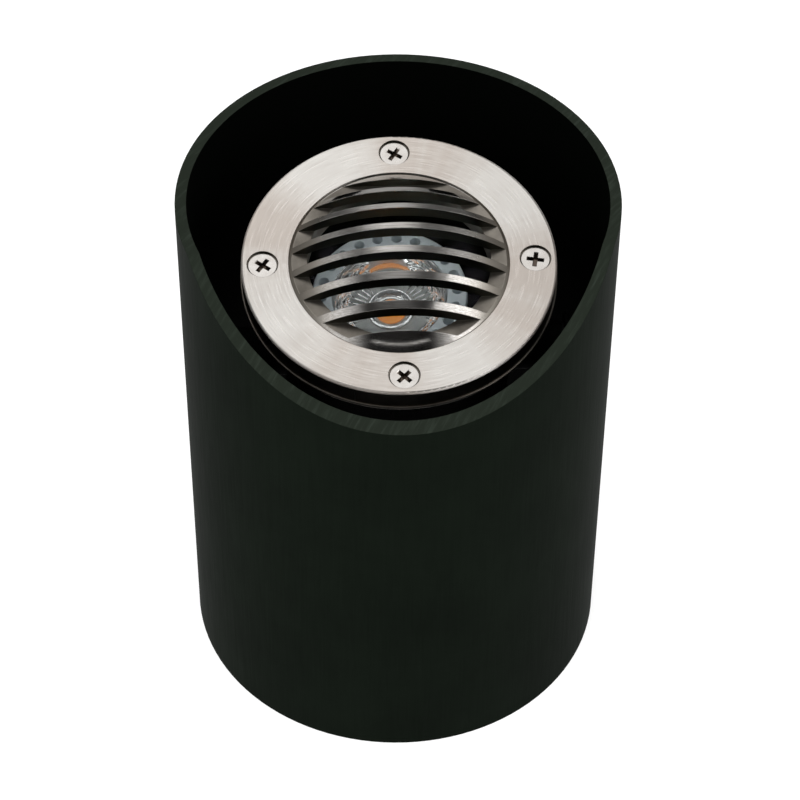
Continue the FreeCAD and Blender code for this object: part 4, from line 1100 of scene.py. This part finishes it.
@dataclass(frozen=True)
class CableGland:
    """The gland in the cup's floor."""

    plastic: Finish = NYLON

    def build(self) -> None:
        """Dress the gland."""
        dress(Body.HEAD, {
            "gland_body": self.plastic,
            "gland_washer": SEAL_RUBBER,
            "gland_locknut": self.plastic,
            "gland_seal": SEAL_RUBBER,
            "gland_nut": self.plastic,
        })


@dataclass(frozen=True)
class PhotoCamera:
    """The photograph's viewpoint, in the part's own frame.

    Attributes:
        target_mm: the point that the picture's middle looks at.
        distance_mm: from the camera to that point.
        turn_deg: how far the camera stands to the left of straight ahead.
        elevation_deg: how steeply it looks down.
        roll_deg: lean of the picture.
        focal_px: focal length, in pixels of the picture.
        picture_px: width of the picture.
        sensor_mm: width of the sensor.
        near_mm: nearest distance it sees.
    """

    target_mm: tuple[float, float, float] = (1.06, -0.05, 96.1)
    distance_mm: float = 1010.7
    turn_deg: float = 2.62
    elevation_deg: float = 45.99
    roll_deg: float = 0.483
    focal_px: float = 3017.9
    picture_px: float = 800.0
    sensor_mm: float = 36.0
    near_mm: float = 10.0

    def build(self) -> None:
        """Make the camera and put it in use."""
        turn = math.radians(self.turn_deg)
        rise = math.radians(self.elevation_deg)
        roll = math.radians(self.roll_deg)
        ahead = Vector((math.sin(turn) * math.cos(rise), math.cos(turn) * math.cos(rise), -math.sin(rise)))
        right = Vector((math.cos(turn), -math.sin(turn), 0.0))
        over = right.cross(ahead)
        across = right * math.cos(roll) + over * math.sin(roll)
        upward = over * math.cos(roll) - right * math.sin(roll)
        spot = Vector(self.target_mm) * MM - ahead * (self.distance_mm * MM)
        data = bpy.data.cameras.new("photo_camera")
        data.sensor_width = self.sensor_mm
        data.lens = self.sensor_mm * self.focal_px / self.picture_px
        data.clip_start = self.near_mm * MM
        camera = bpy.data.objects.new("photo_camera", data)
        bpy.context.scene.collection.objects.link(camera)
        turned = Matrix((across, upward, -ahead)).transposed().to_4x4()
        camera.matrix_world = Matrix.Translation(spot) @ turned
        bpy.context.scene.camera = camera


@dataclass(frozen=True)
class SoftLamp:
    """A soft studio lamp that points at the light.

    Attributes:
        name: what it is for.
        place: where it stands, in metres.
        side: edge of its square, in metres.
        power: in watts.
        in_mirror: whether metal mirrors it.
        aim: the point it is turned to, in metres.
    """

    name: str
    place: tuple[float, float, float]
    side: float
    power: float
    in_mirror: bool = True
    aim: tuple[float, float, float] = (0.0, 0.0, 0.12)

    def build(self) -> None:
        """Make the lamp."""
        data = bpy.data.lights.new(self.name, "AREA")
        data.shape = "SQUARE"
        data.size = self.side
        data.energy = self.power
        lamp = bpy.data.objects.new(self.name, data)
        bpy.context.scene.collection.objects.link(lamp)
        lamp.location = self.place
        lamp.visible_glossy = self.in_mirror
        beam = Vector(self.aim) - Vector(self.place)
        lamp.rotation_euler = beam.to_track_quat("-Z", "Y").to_euler()


def ray_kinds(tree: Tree) -> tuple[Socket, Socket]:
    """Tell apart the rays that show the surroundings.

    Args:
        tree: the nodes of the floor or the tent.

    Returns:
        One for camera rays and rays through glass, and one for mirrored rays.
    """
    path = add_node(tree, "LightPath").node
    clear = add_node(tree, "Math", {
        0: path.outputs["Is Camera Ray"],
        1: path.outputs["Is Transmission Ray"],
    }, operation="MAXIMUM")
    return clear, path.outputs["Is Glossy Ray"]


@dataclass(frozen=True)
class LightTent:
    """A tent that is white to the eye, while metal mirrors a soft box, a strip and the side walls in it.

    A place in it is told by how far the way there goes across (to the right), along (to the back) or up.

    Attributes:
        sky: how strongly the tent lights the object.
        roof: brightness of the soft box in the roof.
        front: what is left of that at the open front.
        back: share of it that is left at the back.
        roof_along: where along the box starts, where it is brightest, and where it has faded.
        roof_power: power of its rise from the front.
        box_place: where across the box hangs.
        box_half: half of its width.
        box_blend: how far its edge fades.
        gap: share of its light in the gaps beside it.
        strip: brightness of the strip across the open front.
        strip_height: how far up the strip is.
        strip_half: half of its width.
        strip_along: where along it ends.
        sides: brightness of the left and right wall.
        side_back: what is left of that towards the back.
        side_across: where across the walls start, and where they are full.
        side_along: where along they start to fade, and where they have faded.
    """

    sky: float = 1.0
    roof: float = 1.2
    front: float = 0.015
    back: float = 0.42
    roof_along: tuple[float, float, float] = (-0.85, 0.4, 0.95)
    roof_power: float = 1.9
    box_place: float = -0.05
    box_half: float = 0.08
    box_blend: float = 0.28
    gap: float = 0.2
    strip: float = 0.6
    strip_height: float = 0.55
    strip_half: float = 0.012
    strip_along: float = -0.76
    sides: float = 1.05
    side_back: float = 0.22
    side_across: tuple[float, float] = (0.36, 0.7)
    side_along: tuple[float, float] = (-0.1, 0.85)

    def build(self) -> None:
        """Make the tent and put it in use."""
        world = bpy.data.worlds.new("light_tent")
        world.use_nodes = True
        tree = world.node_tree
        tree.nodes.clear()
        clear, mirror = ray_kinds(tree)
        lit = add_node(tree, "Mix", {0: mirror, 2: self.sky, 3: self.mirrored(tree)}, data_type="FLOAT")
        strength = add_node(tree, "Mix", {0: clear, 2: lit, 3: 1.0}, data_type="FLOAT")
        light = add_node(tree, "Background", {"Color": linear("#ffffff"), "Strength": strength})
        add_node(tree, "OutputWorld", {"Surface": light})
        bpy.context.scene.world = world

    def mirrored(self, tree: Tree) -> Socket:
        """What metal mirrors: the roof and the strip, and the side walls beyond them.

        Args:
            tree: the tent's nodes.

        Returns:
            The brightness.
        """
        way = add_node(tree, "TexCoord", output="Generated")
        across, along, upward = add_node(tree, "SeparateXYZ", {0: way}).node.outputs
        level = add_node(tree, "Math", {
            0: upward,
            1: self.strip_height,
            2: self.strip_half,
        }, operation="COMPARE")
        ahead = add_node(tree, "Math", {0: along, 1: self.strip_along}, operation="LESS_THAN")
        band = add_node(tree, "Math", {0: level, 1: ahead}, operation="MULTIPLY")
        striped = add_node(tree, "Math", {
            0: band,
            1: self.strip,
            2: self.soft_box(tree, across, along),
        }, operation="MULTIPLY_ADD")
        beside = add_node(tree, "MapRange", {
            "Value": add_node(tree, "Math", {0: across}, operation="ABSOLUTE"),
            "From Min": self.side_across[0],
            "From Max": self.side_across[1],
        }, interpolation_type="SMOOTHSTEP")
        wall = add_node(tree, "MapRange", {
            "Value": along,
            "From Min": self.side_along[0],
            "From Max": self.side_along[1],
            "To Min": self.sides,
            "To Max": self.side_back,
        })
        return add_node(tree, "Mix", {0: beside, 2: striped, 3: wall}, data_type="FLOAT")

    def soft_box(self, tree: Tree, across: Socket, along: Socket) -> Socket:
        """The roof's soft box, which fades to the front, to the back and to both sides.

        Args:
            tree: the tent's nodes.
            across: how far the way goes to the right.
            along: how far it goes to the back.

        Returns:
            The brightness.
        """
        start, middle, end = self.roof_along
        depth = add_node(tree, "MapRange", {"Value": along, "From Min": start, "From Max": middle})
        ramp = add_node(tree, "Math", {0: depth, 1: self.roof_power}, operation="POWER")
        rising = add_node(tree, "MapRange", {"Value": ramp, "To Min": self.front, "To Max": self.roof})
        fading = add_node(tree, "MapRange", {
            "Value": along,
            "From Min": middle,
            "From Max": end,
            "To Min": 1.0,
            "To Max": self.back,
        })
        off = add_node(tree, "Math", {0: across, 1: self.box_place}, operation="SUBTRACT")
        boxed = add_node(tree, "MapRange", {
            "Value": add_node(tree, "Math", {0: off}, operation="ABSOLUTE"),
            "From Min": self.box_half,
            "From Max": self.box_half + self.box_blend,
            "To Min": 1.0,
            "To Max": self.gap,
        }, interpolation_type="SMOOTHSTEP")
        deep = add_node(tree, "Math", {0: rising, 1: fading}, operation="MULTIPLY")
        return add_node(tree, "Math", {0: deep, 1: boxed}, operation="MULTIPLY")


@dataclass(frozen=True)
class Studio:
    """White floor, a light tent and soft lamps.

    Attributes:
        floor_side: edge of the floor, in metres.
        floor_tint: sRGB colour of the floor.
        floor_glow: how much of the floor's white doesn't depend on the lamps.
        tent: the tent.
        lamps: the lamps.
    """

    floor_side: float = 8.0
    floor_tint: str = "#a8a8a8"
    floor_glow: float = 0.7
    tent: LightTent = LightTent()
    lamps: tuple[SoftLamp, ...] = (
        SoftLamp("right_lamp", (1.2, -0.4, 0.9), 1.4, 5.6),
        SoftLamp("left_lamp", (-1.2, -0.35, 0.9), 1.4, 3.8, in_mirror=False),
        SoftLamp("front_lamp", (-0.4, -1.0, 1.3), 0.9, 7.5, in_mirror=False),
    )

    def build(self) -> None:
        """Make the floor, the tent and the lamps."""
        self.lay_floor()
        self.tent.build()
        for lamp in self.lamps:
            lamp.build()

    def lay_floor(self) -> None:
        """A square of plain floor under the light, white to the eye but for the soft shadow."""
        half = self.floor_side / 2.0
        mesh = bpy.data.meshes.new("floor")
        corners = [(-half, -half, 0.0), (half, -half, 0.0), (half, half, 0.0), (-half, half, 0.0)]
        mesh.from_pydata(corners, [], [(0, 1, 2, 3)])
        floor = bpy.data.objects.new("floor", mesh)
        bpy.context.scene.collection.objects.link(floor)
        material = bpy.data.materials.new("floor_paper")
        material.use_nodes = True
        tree = material.node_tree
        tree.nodes.clear()
        clear, mirror = ray_kinds(tree)
        seen = add_node(tree, "Math", {0: clear, 1: mirror}, operation="MAXIMUM")
        glow = add_node(tree, "Math", {0: seen, 1: self.floor_glow}, operation="MULTIPLY")
        paper = add_node(tree, "BsdfDiffuse", {"Color": linear(self.floor_tint)})
        white = add_node(tree, "Emission", {"Color": linear("#ffffff"), "Strength": glow})
        add_node(tree, "OutputMaterial", {"Surface": add_node(tree, "AddShader", {0: paper, 1: white})})
        mesh.materials.append(material)


def main() -> None:
    """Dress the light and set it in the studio."""
    logging.basicConfig(level=logging.INFO, format="%(name)s: %(message)s")
    bpy.context.scene.view_settings.view_transform = "Standard"
    for part in (PipeSleeve(), TiltPivots(), LouvredFace(), ReflectorLamp(), HolderAndWiring(), CableGland()):
        part.build()
    Studio().build()
    PhotoCamera().build()


if __name__ == "__main__":
    main()
